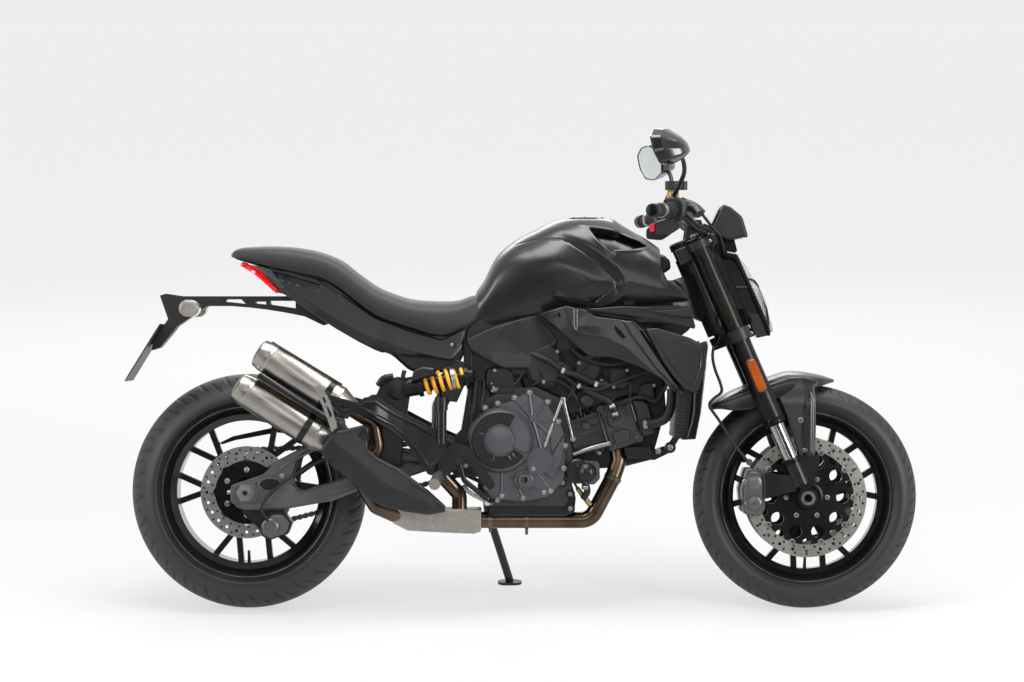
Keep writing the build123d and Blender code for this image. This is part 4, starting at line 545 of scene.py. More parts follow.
hose_paths = [
    ([(742, -96, 690), (800, -124, 668), (842, -128, 640), (884, -126, 626), (926, -124, 606),
        (960, -116, 604)], 8),
    ([(846, -112, 626), (880, -122, 600), (930, -124, 590), (974, -120, 604), (1020, -116, 622),
        (1072, -112, 640)], 5),
    ([(900, -116, 588), (930, -122, 574), (960, -118, 560), (976, -112, 540), (984, -104, 510)], 9),
    ([(1126, -120, 612), (1130, -124, 580), (1126, -122, 540), (1112, -112, 512), (1084, -96, 500),
        (1052, -88, 496)], 13),
    ([(612, -104, 640), (604, -108, 560), (600, -108, 500), (610, -106, 430), (620, -104, 380)], 7),
    ([(622, -100, 640), (630, -108, 600), (624, -112, 540), (612, -110, 480)], 5),
    ([(860, -104, 700), (900, -112, 670), (960, -112, 656), (1020, -110, 664), (1080, -108, 660)], 6),
    ([(980, -100, 536), (1010, -108, 560), (1050, -106, 570), (1090, -104, 560), (1118, -100, 600)], 5),
]
build("hoses", [tube(path, radius, 14, 7) for path, radius in hose_paths], black_rubber)
loom_paths = [
    [(850, -102, 560), (870, -112, 590), (900, -110, 640), (940, -108, 676)],
    [(760, -110, 600), (800, -118, 620), (850, -116, 600), (880, -108, 560), (890, -104, 520)],
    [(1000, -104, 640), (1020, -112, 600), (1016, -106, 560), (1000, -100, 540)],
    [(600, -104, 690), (596, -112, 640), (590, -112, 580), (600, -108, 520), (596, -106, 470)],
    [(640, -104, 590), (660, -112, 604), (690, -112, 600), (720, -108, 610), (736, -104, 640)],
    [(1060, -100, 700), (1040, -108, 676), (1050, -104, 640), (1034, -100, 610)],
]
build("wiring_loom", [tube(path, 2.6, 8, 7) for path in loom_paths], black_rubber)


def clamp(place, along, radius):
    """A worm-drive clamp: a band round a hose with its screw housing on top."""
    place, along = np.asarray(place, float), np.asarray(along, float) / np.linalg.norm(along)
    band = turned([(-5, radius), (-5, radius + 1.6), (5, radius + 1.6), (5, radius)], place, along, 28)
    side = np.cross(along, (0, -1, 0))
    screw = tube([place + (0, -radius - 3, 0) - side * 6, place + (0, -radius - 3, 0) + side * 7], 3.4, 10, 1)
    return [band, screw]


clamp_places = [
    ((842, -128, 640), (3, 0, -1.4), 8.5),
    ((930, -124, 604), (3, 0, -1), 8.5),
    ((884, -124, 599), (2, 0, -1), 6),
    ((972, -114, 545), (1, 0, -2), 9.5),
    ((980, -107, 524), (1, 0, -3), 9.5),
    ((1128, -122, 596), (0, 0, -1), 13.5),
    ((1060, -90, 497), (3, 0, 0.4), 13.5),
    ((902, -108, 330), (0, 0.2, -1), 9.5),
]
clamps = [part for place in clamp_places for part in clamp(*place)]
# Bright screws and connector clips here and there among the hoses.
clamps += bolts([(790, -122, 610), (826, -121, 690), (884, -105, 660), (1012, -99, 640), (976, -99, 596),
    (700, -93, 650), (660, -101, 640), (654, -101, 586), (1084, -93, 600), (944, -105, 612)], 3.6, 5)
clamps += [
    tube([(650, -104, 606), (662, -106, 586)], 4, 10, 1),
    tube([(868, -106, 612), (880, -108, 596)], 3, 10, 1),
]
build("hose_clamps", clamps, bolt_steel)

# ---------------- tank
# A pressed steel tank under a moulded cover, sprayed in a satin charcoal. The cover runs forward into
# two horns beside the steering head. A knee panel is let into each flank, and an intake pocket sits in
# each shoulder. The pocket is tinted near black as painted shade, and the knee panel's seam is a dark
# joint with painted shade in its groove.
TANK_ROWS = np.array(
    # along, lower edge, crown, half width at the lower edge and at the belly, belly's height from 0 to 1
    [
        (600, 757, 800, 80, 84, 0.45), (609, 757, 846, 86, 93, 0.45), (630, 757, 879, 92, 103, 0.45),
        (665, 764, 945, 99, 114, 0.44), (710, 777, 985, 108, 127, 0.43), (760, 790, 1012, 116, 139, 0.43),
        (820, 805, 1034, 124, 150, 0.42), (880, 811, 1045, 131, 156, 0.40), (940, 809, 1044, 137, 158, 0.34),
        (975, 812, 1038, 140, 158, 0.28), (995, 813, 1027, 141, 158, 0.26),
        (1030, 815, 1011, 143, 157, 0.23), (1065, 817, 993, 144, 156, 0.21),
        (1100, 818, 968, 144, 154, 0.19),
    ]
)
HORN_ROWS = np.array([(1100, 818, 968, 144, 154, 0.19), (1118, 819, 926, 144, 153, 0.22),
    (1140, 820, 899, 144, 152, 0.3), (1162, 822, 868, 144, 150, 0.4), (1173, 825, 832, 144, 147, 0.5)])
KNEE_SEAM = [(700, 968), (721, 976), (760, 986), (806, 990), (836, 987), (858, 978), (901, 950), (936, 923),
    (967, 896), (979, 875), (976, 861), (951, 842), (921, 818), (905, 800)]
KNEE_RIDGE = [(790, 838), (820, 838), (868, 829), (915, 819), (950, 840)]
CROWN_STEP = [(860, 1022), (915, 1014), (990, 1006), (1047, 982), (1090, 962)]
INTAKE = [(914, 1013), (950, 1011), (990, 1004), (1047, 981), (1064, 970), (1030, 964), (976, 960),
    (970, 951), (948, 973), (928, 994)]


def smooth(start, end, value):
    """0 up to start, 1 from end, and a cubic ease between them."""
    t = np.clip((value - start) / (end - start), 0, 1)
    return t * t * (3 - 2 * t)


def beside(x, z, line):
    """Distance of each point from a line of straight runs in the side view, and the side it lies on: above
    zero to the left as the line is followed. The nearest run decides both."""
    line = np.asarray(line, float)
    start, run = line[:-1], np.diff(line, axis=0)
    points = np.stack([x, z], axis=-1)[..., None, :]
    t = np.clip(((points - start) * run).sum(-1) / (run**2).sum(-1), 0, 1)
    away = points - start - t[..., None] * run
    distance = np.sqrt((away**2).sum(-1))
    nearest = distance.argmin(-1)[..., None]
    distance = np.take_along_axis(distance, nearest, -1)[..., 0]
    turn = np.take_along_axis(run[:, 0] * away[..., 1] - run[:, 1] * away[..., 0], nearest, -1)[..., 0]
    return np.where(turn >= 0, distance, -distance)


def within(x, z, shape):
    """Depth of each point inside a closed shape in the side view, below zero outside it."""
    shape = np.asarray(shape, float)
    ahead = np.roll(shape, -1, axis=0)
    distance = np.abs(beside(x, z, np.concatenate([shape, shape[:1]])))
    px, pz = x[..., None], z[..., None]
    rise = np.where(ahead[:, 1] == shape[:, 1], 1e-9, ahead[:, 1] - shape[:, 1])
    level = (shape[:, 1] > pz) != (ahead[:, 1] > pz)
    crossed = level & (px < shape[:, 0] + (pz - shape[:, 1]) / rise * (ahead[:, 0] - shape[:, 0]))
    return np.where(crossed.sum(-1) % 2 == 1, distance, -distance)


def tank_section(rows, steps):
    """Right half of the cover's cross-section at each row, from its lower edge to the crown: fixed fractions
    of height and half width, smoothed across the section and then along the bike."""
    x, low, top, foot, belly, waist = rows.T
    heights = np.stack([0 * waist, waist * 0.45, waist, *(waist + (1 - waist) * share
        for share in (0.34, 0.62, 0.83, 0.955)), 1 + 0 * waist], axis=1)
    widths = np.stack([foot, (foot + 2.2 * belly) / 3.2, belly, *(belly * share
        for share in (0.965, 0.86, 0.66, 0.36)), 0 * belly], axis=1)
    z = low[:, None] + (top - low)[:, None] * heights
    net = np.stack([np.repeat(x[:, None], 8, axis=1), -widths, z], axis=-1)
    net = np.concatenate([net, (net * (1, -1, 1))[:, -2::-1]], axis=1)
    surface = through(net, steps).swapaxes(0, 1)
    return through(surface, 20).swapaxes(0, 1)[:, :141]


def tank_relief(points):
    """Moves the flank in or out: the valley along the knee panel's seam, the pocket of the intake, the ridge
    under the knee, the collar round the filler cap and the dip under its lid, the fall below the horn's
    crease and the seam itself. Also gives each point's tint towards near black: the seam's groove, a dark
    joint with painted shade in it, and the intake pocket, painted shade."""
    x, y, z = points.reshape(-1, 3).T
    seam = beside(x, z, KNEE_SEAM)
    side = smooth(20, 70, -y)
    inside, outside = smooth(0, 62, -seam), smooth(0, 30, seam)
    valley = 9.0 * (1 - np.where(seam < 0, inside, outside)) * smooth(690, 760, x)
    groove = 2.6 * (1 - smooth(0.8, 3.0, np.abs(seam))) * smooth(712, 722, x)
    pocket = smooth(-1.5, 3.5, within(x, z, INTAKE))
    lip = 2.0 * np.exp(-((within(x, z, INTAKE) + 5) / 4.5) ** 2)
    ridge = beside(x, z, KNEE_RIDGE)
    shelf = 5.0 * np.exp(-np.abs(ridge) / 9) * (ridge > 0) + 5.0 * np.exp(-np.abs(ridge) / 4) * (ridge <= 0)
    shelf = shelf * smooth(790, 830, x) * (1 - smooth(905, 925, x))
    crease = np.interp(x, [960, 1001, 1087, 1173], [872, 869, 849, 829]) - z
    under = np.clip(crease, 0, None) * 0.34 * smooth(975, 1010, x)
    under = under - 2.5 * np.exp(-((crease / 7) ** 2)) * smooth(985, 1030, x)
    step = beside(x, z, CROWN_STEP)
    crown = 3.2 * smooth(-1, 5, step) * smooth(868, 905, x) * (1 - smooth(1060, 1085, x))
    inward = valley + groove + 26 * pocket - lip - shelf + under - crown
    from_cap = np.hypot(x - 900, y)
    collar = 8.0 * smooth(62, 70, from_cap) * (1 - smooth(74, 150, from_cap))
    # The skin dips under the lid, so that the lid can swing clear of it.
    dip = 12.0 * (1 - smooth(48, 52, np.hypot(x - 905, y))) * (z > 1000)
    moved = np.stack([x, np.minimum(y + inward * side, 0), z - 6 * pocket * side + collar - dip], axis=-1)
    painted_shade = np.maximum((1 - smooth(1.0, 3.0, np.abs(seam))) * smooth(712, 722, x) * side, pocket)
    return moved.reshape(points.shape), painted_shade.reshape(points.shape[:2])


flank, flank_painted_shade = tank_relief(tank_section(TANK_ROWS, 16))
whole = np.concatenate([flank, (flank * (1, -1, 1))[:, -2::-1]], axis=1)
tank_points, tank_faces = grid(whole, round_columns=True, capped=True)
tank_painted_shade = np.concatenate([flank_painted_shade, flank_painted_shade[:, -2::-1]], axis=1).ravel()

# The horns carry the flank on past the tank's front as a 9 mm shell.
horn = tank_relief(tank_section(HORN_ROWS, 14)[:, :101])[0]
reach = np.interp(horn[:, 0, 0], [1100, 1118, 1173], [78, 66, 100])
spots = reach[:, None] * np.linspace(0, 1, 60)
row = np.arange(len(horn))[:, None]
low_spot = np.minimum(spots.astype(int), 99)
part = (spots - low_spot)[..., None]
outer = horn[row, low_spot] * (1 - part) + horn[row, low_spot + 1] * part
# Near its point only the outer flank stays, so that the fork passes inside it at full lock.
room = np.interp(outer[..., 0], [1140, 1156], [60, 138])
outer[..., 1] = np.minimum(outer[..., 1], -room)
horn_loop = np.concatenate([outer, outer[:, ::-1] + (0, 9, 0)], axis=1)
horn_part = closed(horn_loop)


def tint(material, name, colour):
    """Turns the material's own colour to another by the share that the named point attribute holds."""
    tree, shader = shader_of(material)
    tone = shader.inputs["Base Color"].links[0].from_socket
    share = add(tree, "Attribute", attribute_name=name).outputs["Fac"]
    tree.links.new(blend(tree, share, tone, linear(colour)), shader.inputs["Base Color"])


def paint(name, base, flake, rough):
    """Satin two-coat paint: a charcoal base whose tone drifts a little, and a clear coat with orange peel of
    about 1.5 mm. The seam attribute turns it near black: a dark joint where panels meet, and painted shade
    in sunk grooves, slots, pockets and sipes."""
    material = finish(name, (base, flake), rough, grain=1.6, relief=0.012, spread=0.03, coat=0.4)
    tune(shader_of(material)[1], Coat_Roughness=0.2)
    tint(material, "seam", "#050506")
    return material


def mark(piece, name, amounts):
    """Gives each of the piece's points its share of a tint, from 0 to 1."""
    layer = piece.data.attributes.new(name, "FLOAT", "POINT")
    layer.data.foreach_set("value", np.asarray(amounts, np.float32))


# Satin charcoal paint: broad, soft highlights with no sparkle.
charcoal_paint = paint("satin_charcoal_paint", "#0d0e10", "#131416", 0.33)
tank = build("tank_cover", [outward((tank_points, tank_faces))] + both_sides([horn_part]), charcoal_paint,
    "chassis", ("fuel_tank", "tank_front_panels"), sharp=50)
# Painted shade: the intake pocket and the seam's groove are tinted near black; the horns are not.
mark(tank, "seam", np.concatenate([tank_painted_shade, np.zeros(2 * len(horn_part[0]))]))

# ---------------- radiator shrouds
# Moulded panels over the ends of the radiator, in the satin charcoal, with a glossy black guard down
# the front. The core between them is black aluminium fin.


def panel(outline, spine, face, depth, edge, count=300, rings=20):
    """A moulded panel seen from the side. Its rim shrinks in rings onto a spine line inside it, and the
    distance from the bike's middle is face(x, z), less a quarter-round of radius edge along the rim. The
    back closes it at depth under that. Returns the part on the bike's right."""
    rim = rounded(outline, count)
    spine = np.asarray(spine, float)
    start, run = spine[:-1], np.diff(spine, axis=0)
    t = np.clip(((rim[:, None] - start) * run).sum(-1) / (run**2).sum(-1), 0, 1)
    spots = start + t[..., None] * run
    nearest = np.linalg.norm(spots - rim[:, None], axis=-1).argmin(axis=1)
    inward = spots[np.arange(count), nearest] - rim
    length = np.linalg.norm(inward, axis=1)
    bend = np.linspace(0, np.pi / 2, 6)
    rows = []
    for share in (0.0, 0.5):
        line = rim + inward * share
        rows.append(np.insert(line, 1, -(face(*line.T) - depth), axis=1))
    rows = rows[::-1]
    for inset, drop in zip(edge * (1 - np.cos(bend)), edge * (1 - np.sin(bend))):
        line = rim + inward * (np.minimum(inset, length * 0.4) / length)[:, None]
        rows.append(np.insert(line, 1, drop - face(*line.T), axis=1))
    near = np.minimum(edge, length * 0.4) / length
    for share in np.linspace(0, 1, rings)[1:]:
        line = rim + inward * (near + (1 - near) * share)[:, None]
        rows.append(np.insert(line, 1, -face(*line.T), axis=1))
    back = rim + inward
    rows.insert(0, np.insert(back, 1, -(face(*back.T) - depth), axis=1))
    return outward(grid(np.stack(rows), round_columns=True))


def shroud_face(x, z):
    """Flat and slightly tilted, with a raised field behind a shallow step along its rear and lower edges."""
    field = within(x, z, [(1076, 738), (1172, 716), (1206, 702), (1203, 648), (1188, 604), (1166, 606),
        (1118, 664)])
    return 184 + 0.05 * (x - 1140) + 2.2 * smooth(-2, 3, field)


shroud = panel([(1058, 750), (1087, 752), (1172, 728), (1201, 713), (1219, 719), (1223, 706), (1216, 647),
    (1198, 590), (1184, 582), (1160, 592), (1131, 624), (1102, 665)], [(1100, 720), (1150, 668), (1180, 620)],
    shroud_face, 20, 4)
build("radiator_shroud", both_sides([shroud]), charcoal_paint, "chassis",
    ("radiator_shrouds",))
# Glossy black ABS, with sharp reflections.
gloss_black = finish("gloss_black_abs", ("#0c0c0d", "#101011"), 0.16, grain=5, relief=0.004, spread=0.03,
    coat=0.5)
guard = panel([(1219, 664), (1212, 600), (1204, 530), (1190, 459), (1150, 457), (1166, 462), (1178, 500),
    (1184, 530), (1186, 580), (1200, 600)], [(1208, 640), (1194, 540), (1182, 466)], lambda x, z: 183 + 0 * x,
    22, 4, rings=10)
build("radiator_guard", both_sides([guard]), gloss_black)

# Louvred end tank and fins of the radiator as they show beside the hose.
fins = [plate([(1138, z), (1166, z - 1), (1166, z + 3), (1138, z + 4)], 168, 160, 0.8)
    for z in range(470, 690, 9)]
build("radiator_end_tank", both_sides(fins), black_mould)

# ---------------- side wings and beaks
# Each wing is one injection moulding in satin charcoal: a creased upper field, a bright blade down
# its front edge above a sunk channel, and a short vent slot. The channel and the slot are tinted near
# black as painted shade. The beak above it closes in the air duct. Both are screwed to the frame.
WING_CREASE = [(845, 812), (862, 762), (884, 742), (958, 727), (1010, 700), (1120, 600)]
BLADE = [(997, 771), (1022, 772), (1046, 742), (1092, 672), (1150, 590), (1143, 583), (1082, 648),
    (1016, 738)]
CHANNEL = [(1040, 749), (1050, 742), (1112, 654), (1164, 592), (1160, 574), (1148, 590), (1094, 674)]
VENT = [(974, 758), (984, 752), (1006, 727), (1000, 724), (984, 738)]


def wing_face(x, z):
    """Bulges along a crease: above it the field leans in towards the tank, below it it turns under. The
    channel and the vent are sunk, and the blade stands proud."""
    side = beside(x, z, WING_CREASE)
    face = 180 - 0.16 * np.clip(side, 0, None) - 0.42 * np.clip(-side - 2, 0, 60) * smooth(1130, 1040, x)
    face = face - 7.0 * smooth(868, 800, x)
    face = face - 6 * smooth(868, 880, x) * smooth(726, 760, z) * smooth(960, 880, x)
    face = face + 5.5 * smooth(-1, 4, within(x, z, BLADE)) - 7 * smooth(-1, 3, within(x, z, CHANNEL))
    return face - 8 * smooth(-1, 3, within(x, z, VENT))


wing = panel(
    [(779, 791), (812, 801), (847, 811), (900, 800), (926, 782), (993, 774), (1026, 772), (1057, 746),
        (1101, 668), (1130, 626), (1158, 594), (1160, 573), (1143, 578), (1116, 598), (1102, 618),
        (1043, 650), (973, 675), (914, 677), (897, 688)],
    [(830, 785), (900, 745), (960, 730), (1040, 690), (1140, 592)], wing_face, 14, 3, 460, 34,
)
wing_x, wing_z = wing[0][:, 0], wing[0][:, 2]
# Painted shade: the sunk channel and vent are tinted near black.
wing_painted_shade = np.maximum(*(smooth(0, 3, within(wing_x, wing_z, sunk)) for sunk in (CHANNEL, VENT)))
wings = build("side_wing", both_sides([wing]), charcoal_paint, "chassis",
    ("side_fairings",), sharp=40)
mark(wings, "seam", np.concatenate([wing_painted_shade] * 2))


def beak_face(x, z):
    """A long shallow fold: highest along a line that falls forward, with a sunk duct under the rear half."""
    fold = np.interp(x, [930, 1087, 1189], [802, 780, 752])
    face = 164 - 0.22 * np.abs(z - fold) - 3.0 * smooth(1150, 1190, x)
    return face - 5.0 * smooth(5, 9, fold - z) * smooth(1080, 1010, x)


beak = panel([(908, 803), (1000, 810), (1087, 806), (1176, 812), (1189, 764), (1189, 750), (1120, 764),
    (1064, 768), (1040, 766), (1026, 774), (993, 774), (940, 782)], [(930, 795), (1050, 790), (1170, 776)],
    beak_face, 14, 2.5, 360, 16)
build("air_duct_beak", both_sides([beak]), charcoal_paint, sharp=40)
duct = [
    plate([(1080, 797), (1140, 800), (1176, 806), (1184, 780), (1150, 782), (1118, 786)], 165.5, 160, 1),
    plate([(1030, 808), (1086, 805), (1150, 810), (1150, 813), (1080, 811)], 150, 120, 1),
]
build("air_duct_slot", both_sides(duct), black_mould)
screws = bolts([(819, -172, 786), (886, -166, 726), (1184, -158, 757)], 5, 4)
build("fairing_screws", both_sides(screws), black_rubber)
# The dark strut and seal that close the view between tank, wings and covers. They are partly a real seal and
# partly a dark sheet in the gaps that stands in for the shade there.
seal = [plate([(578, 706), (584, 752), (604, 772), (640, 776), (700, 790), (790, 815), (850, 826), (960, 826),
    (1050, 832), (1136, 832), (1136, 770), (1060, 740), (940, 700), (860, 690), (780, 690), (700, 690),
    (640, 690)], 96, 79, 4, 120)]
seal += [plate([(1040, 800), (1100, 790), (1180, 775), (1186, 752), (1150, 725), (1100, 735), (1040, 740)],
    50, 0, 4, 60)]
build("under_tank_seal_and_shade_filler", both_sides(seal), black_mould)

# ---------------- filler cap
# Turned and anodised black aluminium, hinged at the front, with a lock under a small flap.
anodised_black = finish("black_anodised_aluminium", ("#151617", "#1c1d1e"), 0.3, metal=0.8, grain=0.6,
    relief=0.006)
dress(anodised_black, "filler_ring", "fuel_cap_lid")
lid_tilt = turned([(0, 13), (1.2, 12.6), (1.8, 11)], (892, 0, 1049), (0, 0, 1), 36)
cap_bolts = bolts([(900 + 34 * np.cos(a), 34 * np.sin(a), 1049) for a in np.radians(np.arange(30, 390, 60))],
    2.2, 2, (0, 0, 1))
build("filler_cap_lock", [lid_tilt] + cap_bolts, bolt_steel, "fuel_cap")

# ---------------- air box side covers
# Thin mouldings with a fine twill grain in the tool, matt black, that cover the air box. A crease
# runs down each from its top edge, and a hooked lip follows its front.
COVER_LIP = [(800, 756), (826, 722), (812, 700), (790, 684), (770, 660)]


def cover_face(x, z):
    """Falls away on both sides of a crease that runs down from the top, with a raised hooked lip in front."""
    crease = beside(x, z, [(720, 778), (668, 740), (648, 690), (660, 650)])
    lip = np.abs(beside(x, z, COVER_LIP))
    face = 131 - 0.22 * np.clip(crease, 0, None) - 0.10 * np.clip(-crease, 0, None)
    return face + 3.5 * np.exp(-((lip / 5) ** 2))


cover = panel([(584, 722), (649, 752), (700, 768), (771, 788), (800, 754), (829, 719), (821, 704), (783, 662),
    (767, 646), (683, 646), (645, 665), (599, 692)], [(630, 715), (700, 715), (790, 716)], cover_face, 30, 5,
    320, 22)
# Matt black polypropylene: the tool's 2 mm twill shows as faint diagonal lines, drawn 4 mm wide so
# that it can be seen.
twill_plastic = finish("twill_grained_polypropylene", ("#1b1c1e", "#232426"), 0.45, grain=1.2, relief=0.02)
tree, shader = shader_of(twill_plastic)
spin = (0, np.radians(45), 0)
weave_place = add(tree, "Mapping", {"Vector": object_place(tree), "Rotation": spin}).outputs["Vector"]
weave, cross = (add(tree, "TexWave", {"Vector": weave_place, "Scale": 78.0, "Distortion": 0.0},
    bands_direction=way) for way in "XZ")
both = combine(tree, "MULTIPLY", weave.outputs["Fac"], cross.outputs["Fac"])
relief = add(tree, "Bump", {"Height": both, "Distance": 0.0002})
tree.links.new(relief.outputs["Normal"], shader.inputs["Normal"])
build("air_box_cover", both_sides([cover]), twill_plastic, "chassis", ("side_covers",),
    sharp=40)

# ---------------- seat
# One moulded foam pad under a matt charcoal vinyl that is stretched over it and stapled beneath. It
# is wide where the rider sits, dips there, and rises over the passenger's end to a thin tail.
SEAT_ROWS = np.array(
    # along, top, bottom of the pad's side, half width
    [
        (-46, 952, 944, 34), (-36, 962, 940, 58), (-10, 969, 935, 80), (50, 972, 920, 98),
        (100, 971, 909, 106), (150, 966, 898, 112), (200, 955, 886, 118), (250, 934, 857, 124),
        (300, 896, 818, 130), (350, 862, 784, 135), (411, 838, 762, 139), (450, 829, 750, 140),
        (488, 826, 738, 138), (526, 825, 734, 132), (565, 828, 748, 122), (600, 840, 762, 108),
        (622, 838, 784, 94), (640, 822, 800, 82),
    ]
)


def seat_section(rows, steps):
    """Cross-sections of the pad: a crowned top, a rounded shoulder, a side that pulls in a little under it
    and a flat base, smoothed across and then along the bike. The piping's crease runs below the shoulder."""
    x, top, low, half = rows.T
    deep = top - low
    heights = np.stack([0 * x, 0.12 * deep, 0.42 * deep, 0.72 * deep, 0.90 * deep, 0.985 * deep, deep - 1],
        axis=1)
    widths = np.stack([0.93 * half, 0.985 * half, half, 0.93 * half, 0.74 * half, 0.42 * half, 0 * half],
        axis=1)
    net = np.stack([np.repeat(x[:, None], 7, axis=1), -widths, low[:, None] + heights], axis=-1)
    net = np.concatenate([net, (net * (1, -1, 1))[:, -2::-1]], axis=1)
    surface = through(net, steps).swapaxes(0, 1)
    return through(surface, 12).swapaxes(0, 1)


pad = seat_section(SEAT_ROWS, 9)
crossing = np.linspace(0, 12, pad.shape[1])
crossing = np.minimum(crossing, 12 - crossing)
crease_depth = 2.2 * np.exp(-(((crossing - 0.9) / 0.16) ** 2))
crease_depth = crease_depth * smooth(-20, 30, pad[..., 0]) * smooth(560, 500, pad[..., 0])
pad[..., 1] -= np.sign(pad[..., 1]) * crease_depth
# Calendered vinyl: matt, with a leather grain of about 1.5 mm and a faint sheen at grazing angles.
vinyl = finish("matt_charcoal_vinyl", ("#1b1c1e", "#222325"), 0.58, grain=1.5, relief=0.10, spread=0.04)
tune(shader_of(vinyl)[1], Sheen_Weight=0.12)
seat_pad = build("seat_pad", [closed(pad)], vinyl, "chassis", ("seat",))

# ---------------- tail cowl, lamp and number-plate hanger
# The cowl under the seat is moulded in satin charcoal with a long slot near its rear end, tinted near
# black as painted shade, and a dark box below its front. The lamp is a red band that wraps its rear edge.
COWL_SLOT = [(66, 906), (198, 869), (191, 849), (84, 882)]


def cowl_face(x, z):
    """Follows the seat's half width, with a fold that runs down to the front and the slot sunk in it."""
    half = np.interp(x, [0, 100, 250, 400, 545, 600], [88, 104, 124, 136, 126, 112])
    fold = beside(x, z, [(100, 862), (240, 775), (345, 722), (450, 690), (545, 668)])
    face = half - 0.20 * np.clip(fold, 0, None) - 0.55 * np.clip(-fold, 0, None)
    face = face - 9 * smooth(0, 4, within(x, z, COWL_SLOT))
    rim = beside(x, z, [(250, 838), (340, 776), (430, 742), (520, 716), (580, 748)])
    return face - 3.0 * smooth(2, 5, rim)


cowl = panel(
    [(10, 921), (38, 905), (85, 848), (100, 842), (216, 765), (239, 750), (300, 715), (346, 692), (388, 683),
        (470, 676), (545, 668), (574, 700), (577, 727), (584, 752), (526, 732), (488, 735), (430, 753),
        (354, 777), (300, 814), (258, 848), (220, 875), (143, 894), (100, 904), (50, 915)],
    [(60, 895), (160, 858), (240, 805), (330, 745), (430, 712), (540, 706)], cowl_face, 14, 3, 460, 26,
)
# Painted shade: the sunk slot is tinted near black.
cowl_painted_shade = smooth(0, 4, within(cowl[0][:, 0], cowl[0][:, 2], COWL_SLOT))
cowl_piece = build("tail_cowl_skin", both_sides([cowl]), charcoal_paint, "chassis",
    ("tail_cowl",), sharp=40)
mark(cowl_piece, "seam", np.concatenate([cowl_painted_shade] * 2))
under_seat = [
    plate([(330, 704), (388, 680), (430, 642), (450, 634), (526, 634), (560, 650), (580, 690), (576, 730),
        (520, 726), (430, 738), (350, 772)], 106, 60, 8, 120),
    plate([(300, 828), (240, 872), (200, 896), (100, 917), (50, 927), (60, 912), (90, 850), (216, 768),
        (330, 704), (520, 700), (570, 740), (526, 731), (430, 752), (354, 786)], 84, 0, 4, 160),
    plate([(-36, 946), (-36, 938), (-8, 929), (30, 918), (90, 902), (110, 908), (50, 928), (-10, 943)], 56, 0,
        2, 100),
    plate([(520, 690), (590, 690), (640, 740), (660, 776), (622, 790), (584, 764), (526, 744), (430, 764),
        (354, 788), (300, 824), (300, 790), (430, 720)], 92, 60, 4, 120),
]
build("under_seat_tray", both_sides(under_seat), black_mould)
cowl_bolts = [turned([(0, 13), (5, 12), (7, 10)], (x, -y, z), sides=28)
    for x, y, z in ((362, 112, 700), (546, 112, 708))]
build("cowl_bushes", both_sides(cowl_bolts), black_rubber)
build("cowl_screws", both_sides(bolts([(362, -118, 700), (546, -118, 708)], 4, 4)), bolt_steel)

# Red acrylic over a reflector: clear and glossy, deep red, a little lit from inside.
red_lens = finish("red_acrylic", ("#c40d12", "#e0151a"), 0.12, grain=4, relief=0.02, spread=0.04, coat=0.8)
tree, shader = shader_of(red_lens)
tune(shader, Emission_Color=linear("#e8141b"), Emission_Strength=0.35)
dress(red_lens, "tail_light")
lamp_points = through([(-16, -52, 926), (14, -78, 904), (48, -90, 876), (74, -98, 853)], 8)
lamp_loop = np.stack([lamp_points + offset for offset in ((-3, 2, -2), (0, -2, -3.5), (5, -3, 1), (5, 6, 4),
    (-1, 8, 2))], axis=1)
lamp_band = closed(lamp_loop)
build("tail_lamp_band", both_sides([lamp_band]), red_lens, sharp=20)

dress(black_mould, "plate_hanger")
lens_clear = finish("smoked_polycarbonate", ("#6d6964", "#8a857e"), 0.12, grain=3, relief=0.02, spread=0.04,
    coat=0.7)
dress(lens_clear, "rear_turn_signals")
plate_paint = finish("white_enamelled_plate", ("#d9dadb", "#e2e3e4"), 0.3, grain=4, relief=0.01)
dress(black_mould, "licence_plate")
plate_face = plate([(-234.2, 760.65), (-324.0, 615.45), (-324.8, 615.98), (-235.0, 761.18)], 88, -88, 0.3, 24)
build("licence_plate_face", [plate_face], plate_paint)

# ---------------- swingarm, shock absorber, chain
# A sand-cast aluminium swingarm in a mid-grey lacquer, with a lightening pocket ahead of the axle. The
# spring is wound steel in yellow-orange powder coat.
arm_cast = finish("grey_lacquered_sand_casting", ("#4e4f51", "#5c5d60"), 0.42, metal=0.5, grain=1.6,
    relief=0.08)
# Its two legs part behind the axle boss and meet again at the pivot, where they also draw together.
UPPER_LEG = [(-42, 334), (-28, 340), (46, 364), (83, 401), (138, 430), (194, 449), (330, 436), (480, 420),
    (552, 432), (584, 420), (584, 396), (560, 386), (480, 388), (420, 396), (400, 404), (330, 410),
    (260, 420), (181, 426), (153, 419), (138, 405), (130, 374), (131, 340), (100, 300), (-5, 284), (-31, 284)]
LOWER_LEG = [(-31, 279), (-5, 270), (105, 272), (231, 294), (304, 323), (400, 345), (480, 372), (560, 386),
    (584, 396), (584, 410), (480, 392), (420, 396), (400, 380), (330, 372), (278, 362), (221, 342),
    (174, 328), (145, 318), (125, 345), (60, 340), (-20, 320)]
LEG_NARROWS = [330, 470]
arm_parts = [plate(UPPER_LEG, 126, 103, 5, 260), plate(LOWER_LEG, 127, 101, 5, 240)]
for points, _ in arm_parts:
    points[:, 1] += np.interp(points[:, 0], LEG_NARROWS, [0, 48])
arm_parts = both_sides(arm_parts)
